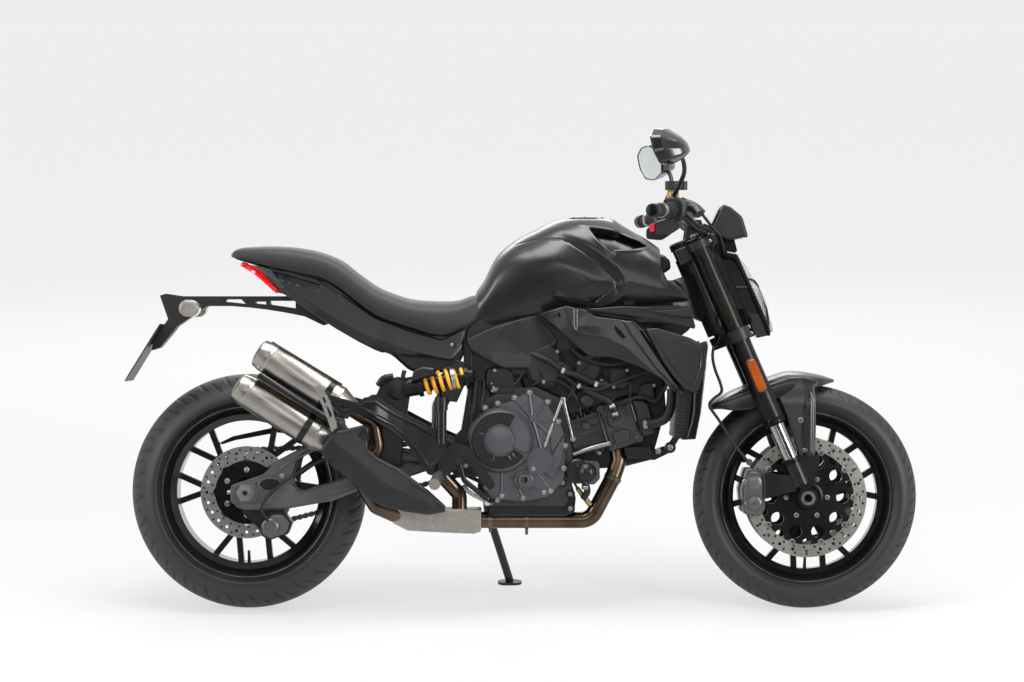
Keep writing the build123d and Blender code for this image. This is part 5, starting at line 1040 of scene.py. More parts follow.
# The left leg stands further out, so that it clears the sprocket and the hub inside it: its inner face
# moves by 17 mm and its outer face by 6.
for points, _ in arm_parts:
    near_wheel = np.interp(points[:, 0], LEG_NARROWS, [1, 0])
    outwards = near_wheel * (17 - 0.42 * np.clip(points[:, 1] - 101, 0, 26))
    points[:, 1] += np.where(points[:, 1] > 0, outwards, 0)
arm_parts += [plate([(345, 350), (345, 412), (480, 416), (552, 428), (584, 420), (584, 396), (560, 386),
    (480, 372), (400, 345)], 78, -78, 4)]
arm_parts += [plate([(330, 400), (352, 560), (372, 606), (412, 604), (424, 570), (400, 400)], 126, 106, 4)]
build("swingarm_casting", arm_parts, arm_cast, "chassis", ("swingarm",))
HEX_POCKET = [(32, 338), (48, 356), (86, 353), (96, 338), (80, 320), (46, 320)]
pocket_rim = rounded(HEX_POCKET, 48, 2)
# The deep pocket is not sunk: a thin dark plate over it stands in for the shade inside it, as painted shade.
pocket = [plate(HEX_POCKET, 127.2, 126, 0.4, 60)]
build("swingarm_pocket_shade", pocket, dark_cast)
ribs = [tube([(x, -127, z) for x, z in np.concatenate([pocket_rim, pocket_rim[:1]])], 3.0, 8, 1)]
ribs += [tube([(x0, -126.5, z0), (x1, -126.5, z1)], 3.4, 8, 1) for x0, z0, x1, z1 in ((-20, 330, 60, 356),
    (60, 356, 118, 398), (118, 398, 196, 436), (196, 436, 326, 430), (-20, 284, 100, 282),
    (100, 282, 228, 304), (228, 304, 322, 336))]
ribs += [turned([(0, 33), (4, 32), (5, 28)], (0, -126, 315), sides=48)]
ribs += [plate([(-40, 328), (-30, 336), (-12, 336), (-12, 292), (-30, 284), (-40, 292)], 131, 124, 2)]
build("swingarm_ribs", ribs, arm_cast)
adjusters = bolts([(-38, -114, 316)], 6, 12, (-1, 0, 0)) + bolts([(-38, 136, 316)], 6, 12, (-1, 0, 0))
adjusters += bolts([(96, -127, 360), (210, -127, 410), (330, -107, 560), (380, -107, 590)], 5, 5)
build("chain_adjusters", adjusters, bolt_steel)
dress(bolt_steel, "rear_axle")

spring_coat = finish("yellow_powder_coated_spring", ("#e39a12", "#efab22"), 0.32, grain=1.5, relief=0.02,
    coat=0.3)
dress(spring_coat, "shock_spring")
damper_black = finish("black_anodised_damper", ("#161718", "#202123"), 0.34, metal=0.6, grain=0.8,
    relief=0.01)
dress(damper_black, "shock_absorber")
mount_cover = [
    plate([(318, 392), (326, 470), (340, 562), (364, 614), (420, 613), (436, 576), (420, 470), (412, 388)],
        132, 124, 3),
    turned([(-26, 30), (2, 31), (10, 29), (12, 24)], (404, -132, 592), sides=48),
    tube([(352, -134, 600), (366, -138, 618), (392, -138, 624)], 9, 14, 4),
    plate([(520, 560), (536, 640), (556, 668), (584, 662), (580, 600), (560, 556)], 140, 108, 4),
    plate([(440, 610), (446, 640), (470, 650), (500, 646), (506, 628), (470, 618)], 170, 150, 4),
]
build("shock_mount_cover", mount_cover, dark_cast)
reservoir = [
    tube([(430, -138, 604), (418, -148, 622), (422, -150, 640)], 6, 12, 4),
    tube([(522, -128, 640), (560, -120, 650), (592, -112, 640), (606, -108, 600)], 5, 12, 6),
]
build("shock_reservoir_hoses", reservoir, black_rubber)
build("shock_preload_ring", [turned([(0, 33), (10, 33), (11, 31)], (546, -126, 615.5), (0.985, 0, 0.17), 24)],
    bolt_steel)

# The chain guard is a thin blade over the upper run, pointed at its rear end.
guard = [
    plate([(-92, 440), (-56, 458), (65, 484), (330, 466), (330, 450), (65, 468), (-50, 447), (-84, 436)],
        -120, -144, 2),
    plate([(180, 362), (206, 362), (216, 470), (186, 472)], -126, -136, 2),
]
build("chain_guard_blade", guard, black_mould, "chassis", ("chain_guard",))

# The chain: 106 links of about 5/8 inch pitch, each two figure-of-eight side plates on rollers. It runs
# round both sprockets and along the two lines that touch them.
CHAIN_Y = 108
REAR_RING, FRONT_RING = 107.0, 38.0
FRONT_SPROCKET = np.array((612.0, 405.0))
rear_point = np.array((0.0, REAR_AXLE_Z))
line = FRONT_SPROCKET - rear_point
tilt = np.arctan2(line[1], line[0])
spread = np.arccos((REAR_RING - FRONT_RING) / np.hypot(*line))
upper = tilt + spread
lower = tilt - spread
rear_turns = np.linspace(upper, lower + 2 * np.pi, 60)
front_turns = np.linspace(lower, upper, 24)
rings = ((rear_point, REAR_RING, rear_turns), (FRONT_SPROCKET, FRONT_RING, front_turns))
loop = np.concatenate([middle + ring * np.stack([np.cos(turns), np.sin(turns)], axis=1)
    for middle, ring, turns in rings])
loop = np.concatenate([loop, loop[:1]])
along = np.concatenate([[0], np.cumsum(np.hypot(*np.diff(loop, axis=0).T))])
LINK_PITCH = 15.875
LINKS = int(along[-1] // LINK_PITCH // 2 * 2)
pins = np.stack([np.interp(np.linspace(0, along[-1], LINKS, endpoint=False), along, loop[:, k])
    for k in (0, 1)], axis=1)
chain_parts = []
for k, (pin, ahead) in enumerate(zip(pins, np.roll(pins, -1, axis=0))):
    run = (ahead - pin) / np.linalg.norm(ahead - pin)
    side = np.array((-run[1], run[0]))
    half = [(-6.5, 3), (-3, 7), (3, 7), (7.9, 4.6), (12.8, 7), (18.8, 7), (22.3, 3)]
    ring = half + [(a, -c) for a, c in half[::-1]]
    outline = [pin + run * a + side * c for a, c in ring]
    out = 7.5 if k % 2 else 5.4
    for y in (CHAIN_Y - out, CHAIN_Y + out - 1.6):
        chain_parts.append(plate(outline, -y, -y - 1.6, 0.4))
    chain_parts.append(turned([(-6, 4.6), (6, 4.6)], (pin[0], CHAIN_Y, pin[1]), sides=8))
chain_steel = finish("rolled_chain_steel", ("#5c5a55", "#7b7872"), 0.36, metal=1.0, grain=1.0, relief=0.01)
build("roller_chain", chain_parts, chain_steel, "chassis", ("drive_chain",), sharp=25)

# ---------------- exhaust
# Drawn stainless tube and pressed collector, TIG welded. Heat has turned the headers bronze, and the
# welds on the two brushed silencers are straw gold.


def heat_tinted(name, colours, rough, hot, brushed):
    """Stainless steel that its heat attribute turns from its own colours to the hot one."""
    material = finish(name, colours, rough, metal=1.0, grain=0.7, relief=0.008, spread=0.07, stretch=brushed)
    tint(material, "heat", hot)
    return material


header_steel = finish("heat_bronzed_stainless_tube", ("#54463b", "#6a5a4c"), 0.28, metal=1.0, grain=24,
    relief=0.004, spread=0.04)
dress(header_steel, "exhaust_pipes")
collector_steel = finish("satin_stainless_pressing", ("#a09c95", "#bdb9b1"), 0.34, metal=1.0, grain=6,
    relief=0.02, spread=0.08)
dress(collector_steel, "exhaust_collector")
ring_steel = finish("stainless_clamp", ("#5c554d", "#7d756b"), 0.3, metal=1.0, grain=1, relief=0.01)
header_rings = [turned([(-6, 21), (-5, 24), (5, 24), (6, 21)], (975, -60, 352), (0.43, 0.0, 0.9), 40)]
header_rings += [turned([(-5, 21), (-5, 24.5), (5, 24.5), (5, 21)], (x, -60, 240), (1, 0, 0), 40)
    for x in (745, 648)]
header_rings += [plate([(x - 4, low), (x - 4, 220), (x + 4, 220), (x + 4, low)], 68, 52, 1)
    for x, low in ((745, 201), (648, 208))]
PIPE_FORWARD = np.array((0.849, 0, -0.528))
PIPE_UP = np.array((0.529, 0, 0.849))
CAN_OFFSETS = (604, 499)
CAN_START, CAN_END, CAN_SIDES = -337, -40, 72


def silencer(offset, start, end):
    """A silencer turned about its own axis: a bevelled cap and its outlet, the can, a rolled ring and a cone.
    Also gives how far along each ring of it lies."""
    centre = np.array([0, -158, 0]) + PIPE_UP * offset
    profile = [(start + 10, 6), (start + 10, 17), (start - 1, 18), (start - 1, 20), (start + 2, 30),
        (start + 6, 37), (start + 24, 41.4), (start + 30, 42), (start + 38, 42), (start + 39.5, 42.8),
        (start + 42.5, 42.8), (start + 44, 42), (end - 52, 42), (end - 50, 43), (end - 46, 43),
        (end - 44, 42), (end, 26)]
    return turned(profile, centre, PIPE_FORWARD, CAN_SIDES), np.array([p[0] for p in profile]) - start


can_parts, can_heat = [], []
for offset in CAN_OFFSETS:
    part, places = silencer(offset, CAN_START, CAN_END)
    can_parts.append(part)
    heat = 1.2 * np.exp(-(((places - 41) / 5) ** 2)) + 0.8 * smooth(200, 300, places)
    heat += 0.75 * np.exp(-((places - 20) / 3) ** 2)
    can_heat.append(np.repeat(np.clip(heat, 0, 1), CAN_SIDES))
# Brushed round the can: the streaks are 0.4 mm wide, drawn about 1 mm wide so that they show.
can_steel = heat_tinted("brushed_stainless_sheet", ("#9c9892", "#bcb8b1"), 0.34, "#8a6434", (1, 5, 1))
cans = build("silencer_cans", can_parts, can_steel, "chassis", ("silencers",), sharp=30)
mark(cans, "heat", np.concatenate(can_heat))


def on_pipe(along, across, y):
    """A point beside the silencers: along them, across them and sideways."""
    return PIPE_FORWARD * along + PIPE_UP * across + (0, y, 0)


straps = [plate([on_pipe(a, c, 0)[[0, 2]] for a, c in ((-300, 560), (-180, 556), (-60, 556), (-60, 548),
    (-180, 548), (-300, 548))], 196, 120, 2)]
for offset in CAN_OFFSETS:
    straps.append(turned([(-9, 42.2), (-8, 44), (8, 44), (9, 42.2)], on_pipe(-120, offset, -158),
        PIPE_FORWARD, 60))
straps += [plate([(296, 468), (318, 486), (330, 470), (326, 436), (312, 420), (300, 440)], 206, 196, 2)]
straps += [tube([on_pipe(-316, 604 + 41, -164), on_pipe(-100, 604 + 43, -164)], 3, 10, 1)]
build("silencer_straps", straps, dark_cast)
straw_weld = finish("straw_tinted_weld", ("#7a5a2c", "#a07c44"), 0.3, metal=1.0, grain=1.5, relief=0.05)
welds = [tube([on_pipe(-296, offset + 38, -176), on_pipe(-90, offset + 38, -176)], 1.6, 8, 1)
    for offset in CAN_OFFSETS]
build("silencer_seam_welds", welds, straw_weld)
build("header_rings", header_rings, ring_steel)
sensor = [tube([(880, -98, 326), (897, -88, 304), (914, -77, 282)], (6, 7.5), 12, 2)]
brass = finish("plated_sensor_body", ("#8f7a55", "#b39a6c"), 0.3, metal=1.0, grain=1, relief=0.01)
build("oxygen_sensor", sensor, brass)
lead = tube([(880, -98, 326), (868, -104, 348), (850, -106, 380), (846, -104, 420)], 3.4, 10, 6)
build("oxygen_sensor_lead", [lead], black_rubber)

# The heat shield over the silencers' pipes: matt black nylon, dished along its middle, on two screws.
SHIELD_RIDGE = [(236, 452), (300, 400), (372, 340), (450, 300), (524, 283)]


def shield_face(x, z):
    """Highest along a ridge that follows the pipes, falling away on both sides, with a raised rear lip."""
    ridge = beside(x, z, SHIELD_RIDGE)
    face = 222 - 0.34 * np.clip(ridge - 6, 0, None) - 0.30 * np.clip(-ridge - 6, 0, None)
    rim = within(x, z, SHIELD)
    return face - 12 * smooth(470, 530, x) + 2.0 * np.exp(-(((rim - 6) / 4) ** 2))


SHIELD = [(235, 480), (201, 430), (216, 404), (258, 370), (300, 335), (323, 308), (361, 285), (422, 270),
    (487, 261), (529, 268), (532, 284), (487, 325), (461, 344), (411, 382), (354, 412), (327, 435),
    (331, 494), (316, 497), (262, 485)]
shield = panel(SHIELD, [(246, 452), (270, 426), (330, 372), (400, 322), (470, 290), (516, 278)], shield_face,
    16, 5, 380, 24)
shield_nylon = finish("matt_black_nylon", ("#161719", "#1e1f21"), 0.46, grain=1.2, relief=0.06)
build("exhaust_heat_shield", [shield], shield_nylon, "chassis", ("exhaust_shield",),
    sharp=40)
build("shield_screws", bolts([(230, -214, 408), (480, -208, 292)], 7, 5), black_rubber)

# ---------------- footrests
# Forged alloy hangers in black, and all the pegs in bare aluminium, the passenger's pegs folded up.
dress(dark_cast, "footrest_brackets")
HANGER = [(222, 566), (298, 546), (320, 560), (352, 562), (398, 530), (466, 495), (504, 476), (556, 452),
    (540, 428), (500, 384), (490, 372), (428, 458), (390, 492), (302, 540), (262, 528)]


def hanger_face(x, z):
    """A forged face with a raised border, sunk between its edges and dished towards the rear."""
    rim = within(x, z, HANGER)
    face = np.interp(x, [300, 420], [213, 168])
    face = face + 3.5 - 4.5 * smooth(7, 12, rim) + 2.5 * smooth(430, 500, x)
    return face + 6 * np.exp(-(((x - 345) / 26) ** 2))


hanger = panel(HANGER, [(236, 560), (300, 548), (346, 540), (410, 498), (470, 450), (520, 440)], hanger_face,
    9, 3, 360, 20)
build("hanger_forging", both_sides([hanger]), dark_cast, sharp=40)
peg_alloy = finish("bare_forged_aluminium", ("#9b9a97", "#b5b4b0"), 0.36, metal=1.0, grain=1.2, relief=0.03)
dress(peg_alloy, "footpegs")
pedal_steel = finish("polished_steel_pedal", ("#a9a8a5", "#c2c1be"), 0.2, metal=1.0, grain=1.0, relief=0.01)
dress(dark_cast, "foot_controls")
pedal = [
    tube([(578, -128, 336), (592, -134, 318), (640, -138, 292)], (6.5, 5.5), 14, 4),
    turned([(-8, 9), (8, 9), (10, 7)], (641, -134, 290), sides=20),
]
build("brake_pedal_arm", pedal, pedal_steel)
hanger_bolts = bolts([(564, -126, 409)], 9, 6) + bolts([(638, -112, 335), (583, -118, 388), (500, -118, 470),
    (236, -140, 560)], 5, 5)
build("hanger_bolts", both_sides(hanger_bolts), bolt_steel)
rear_master = [
    tube([(516, -122, 560), (516, -122, 470)], (13, 12), 20, 1),
    tube([(516, -122, 470), (522, -122, 400), (540, -120, 360)], 5, 12, 4),
    tube([(516, -122, 562), (512, -118, 600), (530, -110, 640)], 5, 12, 5),
]
build("rear_master_cylinder", rear_master, black_mould)

# ---------------- fork
# An upside-down fork: outer tubes in gloss black anodising, hard-chromed stanchions, cast feet that
# carry the calipers, and two forged yokes in satin black.
outer_tube = finish("gloss_black_anodised_tube", ("#262422", "#2f2d2a"), 0.33, metal=0.85, grain=4,
    relief=0.003, spread=0.04)
dress(outer_tube, "fork_outer_tubes")
hard_chrome = finish("hard_chrome", ("#a4a5a4", "#b6b7b6"), 0.16, metal=1.0, grain=5, relief=0.002,
    spread=0.03)
dress(hard_chrome, "fork_stanchions")
dress(dark_cast, "fork_feet")
dress(bolt_steel, "front_axle")
RAKE = np.radians(23.4)
steer_up = np.array((-np.sin(RAKE), 0, np.cos(RAKE)))
steer_ahead = np.array((np.cos(RAKE), 0, np.sin(RAKE)))
FORK_OFFSET = 34
steer_foot = np.array((1492 - FORK_OFFSET * np.cos(RAKE), 0, FRONT_AXLE_Z - FORK_OFFSET * np.sin(RAKE)))


def on_fork(along, ahead, y):
    """A point on the fork: along the steering axis above the front axle, ahead of the legs, and sideways."""
    return steer_foot + steer_up * along + steer_ahead * (FORK_OFFSET + ahead) + (0, y, 0)


fork_parts = []
for y in (-103, 103):
    fork_parts += [
        turned([(212, 21.6), (212, 25), (216, 29), (228, 29.4), (232, 27.6)], on_fork(0, 0, y), steer_up, 48),
        turned([(100, 24.2), (102, 26.5), (112, 26.5), (115, 22)], on_fork(0, 0, y), steer_up, 40),
        turned([(744, 27.8), (746, 29), (752, 29), (753, 26)], on_fork(0, 0, y), steer_up, 40),
        plate([on_fork(a, c, 0)[[0, 2]] for a, c in ((452, 26), (452, 42), (490, 42), (490, 26))], -y + 8,
            -y - 8, 2),
        plate([on_fork(a, c, 0)[[0, 2]] for a, c in ((720, 24), (720, 38), (742, 38), (742, 24))], -y + 8,
            -y - 8, 2),
    ]
build("fork_seals_and_clamps", fork_parts, anodised_black, "steering")
fork_bolts = bolts([on_fork(a, 36, y - 8) for a in (462, 480) for y in (-103, 103)], 4, 5)
fork_bolts += bolts([on_fork(731, 32, -111)], 4, 5) + bolts([on_fork(758, 0, y) for y in (-103, 103)], 11, 6,
    steer_up)
fork_bolts += bolts([(1475, -86, 507), (1487, -86, 427), (1324, -106, 344), (1330, -106, 286)], 5.5, 5)
build("fork_bolts", fork_bolts, bolt_steel, "steering")
# Amber side reflector, a prism field behind clear acrylic, in a black surround.
glowing_amber_reflector = finish("amber_reflector_painted_glow", ("#7a2f04", "#9c450a"), 0.2, grain=3, relief=0.15,
    spread=0.05, coat=0.6)
# A faint amber glow is set on it: painted light, as a reflector has no lamp.
shader = shader_of(glowing_amber_reflector)[1]
tune(shader, Emission_Color=linear("#e06a12"), Emission_Strength=0.12)
reflector_line = [(1325, 664), (1347, 673), (1383, 590), (1360, 581)]
build("fork_reflector", both_sides([plate(reflector_line, 138, 134, 2, 40)]), glowing_amber_reflector,
    "steering")
build("fork_reflector_base", both_sides([plate([(1321, 667), (1348, 678), (1388, 588), (1358, 576)], 135, 128,
    1.5, 40)]), black_mould, "steering")

# ---------------- front mudguard
# Moulded in satin charcoal: a wide blade over the tyre that ends in a lifted point in front and a
# plain edge behind, with a leg down each side that is screwed to the fork's foot.
GUARD_ROWS = np.array(
    # along, height of the crown, how far the side hangs below it, half width
    [
        (1238, 550, 5, 58), (1262, 567, 18, 66), (1300, 588, 42, 72), (1350, 608, 56, 74),
        (1412, 629, 54, 75), (1441, 637, 52, 75), (1473, 637, 40, 74), (1504, 633, 30, 70),
        (1534, 627, 18, 54), (1556, 620, 8, 28), (1571, 615, 3, 6),
    ]
)


def guard_section(rows, steps):
    """Cross-sections of the blade: a crowned top with a ridge down the middle, folded down at each side, and
    the same 4 mm further in, smoothed along the bike."""
    x, top, hang, half = rows.T
    across = np.array([1.0, 1.0, 0.97, 0.86, 0.62, 0.30, 0.0])
    down = np.array([1.0, 0.62, 0.30, 0.15, 0.07, 0.03, 0.0])
    y = -half[:, None] * across
    z = top[:, None] - np.minimum(hang, 58)[:, None] * down - 10 * across**2 * (half / 75)[:, None]
    outer = np.stack([np.repeat(x[:, None], 7, axis=1), y, z], axis=-1)
    outer = np.concatenate([outer, (outer * (1, -1, 1))[:, -2::-1]], axis=1)
    surface = through(through(outer, steps).swapaxes(0, 1), 8).swapaxes(0, 1)
    inner = surface * (1, 1 - 4 / 75, 1) - (0, 0, 4)
    return np.concatenate([surface, inner[:, ::-1]], axis=1)


def leg_face(x, z):
    """Stands out along a raised field down the leg's front half, and folds in above it to meet the blade."""
    field = within(x, z, [(1494, 400), (1506, 420), (1508, 560), (1500, 584), (1480, 480), (1486, 400)])
    return 86 - 9 * smooth(545, 612, z) - 0.14 * np.abs(x - 1484) + 3.0 * smooth(-3, 5, field)


blade = closed(guard_section(GUARD_ROWS, 10))
leg = panel([(1400, 612), (1436, 520), (1458, 456), (1478, 388), (1486, 374), (1502, 372), (1512, 384),
    (1516, 470), (1517, 560), (1512, 598), (1524, 612), (1480, 622), (1440, 620)],
    [(1462, 596), (1480, 520), (1496, 400)], leg_face, 7, 3, 300, 16)
build("front_mudguard", [blade] + both_sides([leg]), charcoal_paint, "steering",
    ("front_fender",), sharp=45)

# ---------------- front brake calipers
# Radially mounted, cast in one piece and hard anodised grey, with bridge windows and four pistons.
caliper_grey = finish("hard_anodised_grey_casting", ("#5d5e60", "#707173"), 0.34, metal=0.7, grain=1.4,
    relief=0.05)
dress(caliper_grey, "front_calipers")
caliper_parts = [
    plate([(1325, 262), (1362, 256), (1374, 272), (1375, 348), (1368, 370), (1336, 372), (1322, 322)], 110,
        103, 4, 60),
    *[turned([(0, 19), (5, 18), (7, 14)], (1350, -108, z), sides=40) for z in (342, 288)],
    turned([(0, 9), (9, 8)], (1337, -100, 396), (0, -1, 0), 20),
]
build("front_caliper_relief", both_sides(caliper_parts), caliper_grey, "steering")

# ---------------- headlight
# A moulded black shell, with a clear polycarbonate lens bulged over it. Dark bezels inside carry a
# U-shaped daylight strip, which is off.
dress(gloss_black, "headlight_housing")
lamp_lens = finish("polycarbonate_lens", ("#a9aeb3", "#c4c9cc"), 0.07, grain=8, relief=0.01, spread=0.03,
    coat=0.9)
dress(lamp_lens, "headlight_lens")


def glass_half(z):
    """Half the lens's width at a height."""
    return np.interp(z, [744, 794, 860, 947], [44, 70, 84, 62])


nose = through([(1304, 0, 947), (1328, 0, 926), (1356, 0, 874), (1382, 0, 816), (1400, 0, 771),
    (1406, 0, 744)], 6)
half_widths = glass_half(nose[:, 2])
strip = [np.stack([nose[:, 0] + lift, -half_widths * inset, nose[:, 2] + lift * 0.35], axis=1)
    for inset, lift in ((0.96, -13.0), (0.84, -3.0), (0.78, -1.2))]
bezel = []
for outer_row, inner_row in zip(strip, strip[1:]):
    back_rows = [inner_row + (-3, 3, 0), outer_row + (-3, 3, 0)]
    bezel.append(closed(np.stack([outer_row, inner_row, *back_rows], axis=1)))
build("headlight_bezel", both_sides(bezel), gloss_black, "steering")
shell_trim = plate([(1276, 958), (1306, 951), (1322, 914), (1340, 874), (1366, 816), (1392, 757), (1396, 731),
    (1386, 729), (1376, 758), (1350, 818), (1326, 874), (1308, 914), (1296, 938), (1270, 940)], 90, 84, 3,
    120)
build("headlight_side_trim", both_sides([shell_trim]), gloss_black, "steering")

# The lens's inner edge and the daylight strip's frame, as a black line down each side of the glass.
lens_line = np.array([(1328, 884), (1352, 878), (1370, 846), (1386, 800), (1393, 756)], float)
lens_side = glass_half(lens_line[:, 1]) + 0.5
frame_line = tube(np.stack([lens_line[:, 0], -lens_side, lens_line[:, 1]], axis=1), 2.6, 8, 6)
build("daylight_strip_frame", both_sides([frame_line]), gloss_black, "steering")

# ---------------- instruments
# A faceted matt shell with an anti-glare glass that faces the rider, over a short gloss visor.
visor = [plate([(1282, 1080), (1290, 1076), (1321, 1050), (1337, 996), (1326, 992), (1308, 1040),
    (1284, 1062)], 72, 0, 6, 60)]
dress(shield_nylon, "instrument_display")
build("instrument_visor", both_sides(visor), gloss_black, "steering")
screen_glass = finish("anti_glare_display_glass", ("#0b0d11", "#12151a"), 0.12, grain=6, relief=0.0,
    spread=0.02, coat=0.8)
across = np.array((0.43, 0, 0.9)) / np.hypot(0.43, 0.9)
outwards = np.array((-across[2], 0, across[0]))
glass_middle = np.array((1249.5, 0, 1042.5)) + outwards * 2.5
corners = [glass_middle + across * a + (0, y, 0) for a, y in ((-32, -64), (-32, 64), (32, 64), (32, -64))]
glass = closed(np.stack([corners, [corner + outwards * 2 for corner in corners]]))
build("display_glass", [glass], screen_glass, "steering")

# ---------------- handlebar and controls
# A tapered bar in satin black, ribbed rubber grips with turned end weights, moulded switch boxes,
# forged levers, and a brake-fluid cup whose amber fluid shows through its side.
dress(frame_black, "handlebar")
grip_rubber = finish("ribbed_grip_rubber", ("#161617", "#1f1f20"), 0.6, grain=0.8, relief=0.04)
dress(grip_rubber, "handlebar_grips")
dress(black_mould, "bar_controls")
grip_start = np.array((1142, -205, 1064.0))
bar_end = np.array((1072, -390, 1054.0))
bar_run = (bar_end - grip_start) / 185


def along_bar(distance):
    """The bar's middle at a sideways distance from the bike's middle, on the right."""
    return grip_start + bar_run * (distance - 205)


outboard = bar_run / np.linalg.norm(bar_run)
grip_rings = [turned([(0, 15.5), (0.8, 17.4), (3.4, 17.4), (4.2, 15.5)], along_bar(272 + 7.2 * k), outboard,
    32) for k in range(14)]
grip_rings += [turned([(0, 17), (3, 21), (6, 21), (8, 17)], along_bar(258), outboard, 40)]
build("grip_ribs", both_sides(grip_rings), grip_rubber, "steering")
weights = [turned([(-2, 15), (0, 18), (12, 18), (16, 16.5), (18, 12)], along_bar(389), outboard, 40)]
sleeve = [turned([(0, 18.5), (1, 20.5), (11, 20.5), (12, 18.5)], along_bar(334), outboard, 40)]
build("throttle_sleeve_rings", both_sides(sleeve), bolt_steel, "steering")
build("bar_end_weights", both_sides(weights), anodised_black, "steering")
controls = [
    turned([(0, 30), (3, 33), (26, 33), (30, 29)], along_bar(222), outboard, 40),
    turned([(0, 19), (4, 22), (20, 22), (24, 19)], along_bar(190), outboard, 32),
    tube([(1150, -196, 1082), (1184, -206, 1070), (1206, -214, 1052)], (15, 11), 20, 3),
    plate([(1077, 1000), (1077, 1030), (1126, 1044), (1150, 1016), (1120, 996)], 256, 236, 4, 40),
    plate([(1112, 1056), (1120, 1078), (1142, 1086), (1160, 1072), (1156, 1046), (1130, 1040)], 256, 226, 4,
        40),
]
build("switch_boxes", both_sides(controls), black_mould, "steering")
red_switch = finish("red_moulded_switch", ("#b5121a", "#d0161f"), 0.35, grain=2, relief=0.01)
build("engine_stop_switch", [plate([(1067, 1004), (1067, 1023), (1078, 1026), (1078, 1004)], 258, 240, 1.5)],
    red_switch, "steering")
fluid = finish("amber_brake_fluid_cup", ("#a9781c", "#c08d2a"), 0.15, grain=4, relief=0.0, spread=0.03,
    coat=0.7)
build("brake_fluid_window", [turned([(0, 15.6), (1, 16), (21, 16), (22, 15.6)], (1130, -190, 1093), (0, 0, 1),
    40)], fluid, "steering")
cap = [turned([(0, 24), (2, 27), (10, 27), (14, 25), (16, 20)], (1140, -192, 1119), (0, 0, 1), 8)]
build("brake_fluid_cap", cap, black_mould, "steering")
cap_screws = bolts([(1140 + a, -192, 1135) for a in (-14, 14)], 2.6, 2,
    (0, 0, 1)) + bolts([(1158, -196, 1086)], 5, 5)
cap_screws += bolts([(1193, y, 1042) for y in (-58, -34, 34, 58)], 4, 5, (0, 0, 1))
build("control_screws", cap_screws, bolt_steel, "steering")
cables = [
    [(1150, -212, 1050), (1190, -180, 1016), (1222, -110, 1002), (1244, -50, 980), (1240, -30, 930)],
    [(1158, -204, 1054), (1200, -180, 1022), (1236, -100, 1010), (1256, -40, 990), (1250, -24, 940)],
    [(1150, 212, 1050), (1190, 180, 1016), (1222, 110, 1002), (1244, 50, 980), (1240, 30, 930)],
    [(1190, -120, 1030), (1226, -110, 1000), (1240, -90, 960), (1236, -60, 930)],
]
build("control_cables", [tube(path, radius, 12, 8) for path, radius in zip(cables, (4, 3, 4, 3))],
    black_rubber, "steering")
# The braided brake hose runs from the lever down between the legs, loops out behind the lower yoke, is
# clipped to the mudguard and ends on the caliper.
brake_hose = tube([(1198, -214, 1060), (1236, -170, 1016), (1262, -90, 990), (1278, -50, 900),
    (1272, -50, 780), (1258, -70, 716), (1243, -90, 700), (1240, -98, 672), (1247, -98, 640),
    (1260, -98, 606), (1263, -98, 582), (1242, -98, 564), (1232, -98, 545), (1258, -98, 505),
    (1300, -97, 440), (1348, -92, 380)], 4, 14, 8)
build("braided_brake_hose", [brake_hose], black_rubber, "steering", ("front_brake_hoses",))
# A pressed bracket on each side carries the headlamp off the fork.
bracket = plate([(1222, 962), (1262, 948), (1290, 896), (1332, 832), (1328, 800), (1288, 806), (1240, 900)],
    62, 58, 1, 60)
build("headlamp_bracket", both_sides([bracket]), black_mould, "steering")
head_parts = [
    turned([(0, 34), (16, 34), (20, 30)], on_fork(742, -34, 0), steer_up, 40),
    plate([on_fork(a, c, 0)[[0, 2]] for a, c in ((700, -60), (700, 0), (718, 20), (742, 20), (744, -60))], 96,
        60, 3),
    plate([(1206, 990), (1218, 1032), (1236, 1026), (1250, 1000), (1240, 980)], 74, 40, 3),
    turned([(0, 20), (14, 20), (18, 16)], (1232, -88, 986), sides=30),
]
build("steering_head_relief", both_sides(head_parts[1:]) + head_parts[:1], dark_cast,
    "steering")

# ---------------- mirrors
# Glossy black shells with facets that meet on a ridge, silvered glass, and a bent steel stem.
MIRROR_PLACE = np.array((1092, -378, 1217.0))
mirror_up = np.array((-0.347, 0, 0.938))
mirror_ahead = np.array((0.938, 0, 0.347))
mirror_side = np.array((0, -1.0, 0))
# Each mirror is turned in towards the rider by 24 degrees.
TOE = np.radians(24)
mirror_ahead, mirror_side = (np.cos(TOE) * mirror_ahead + np.sin(TOE) * mirror_side,
    np.cos(TOE) * mirror_side - np.sin(TOE) * mirror_ahead)
MIRROR_SHAPE = rounded([(-66, -14), (-46, -40), (10, -50), (58, -38), (71, -4), (58, 34), (16, 50), (-34, 46),
    (-62, 22)], 72, 2)


def mirror_ring(depth, scale, rise):
    """The mirror's outline at a depth ahead of the glass, scaled about its middle and moved up."""
    return (MIRROR_PLACE + mirror_ahead * depth + mirror_side * MIRROR_SHAPE[:,
        :1] * scale + mirror_up * (MIRROR_SHAPE[:, 1:] * scale + rise))


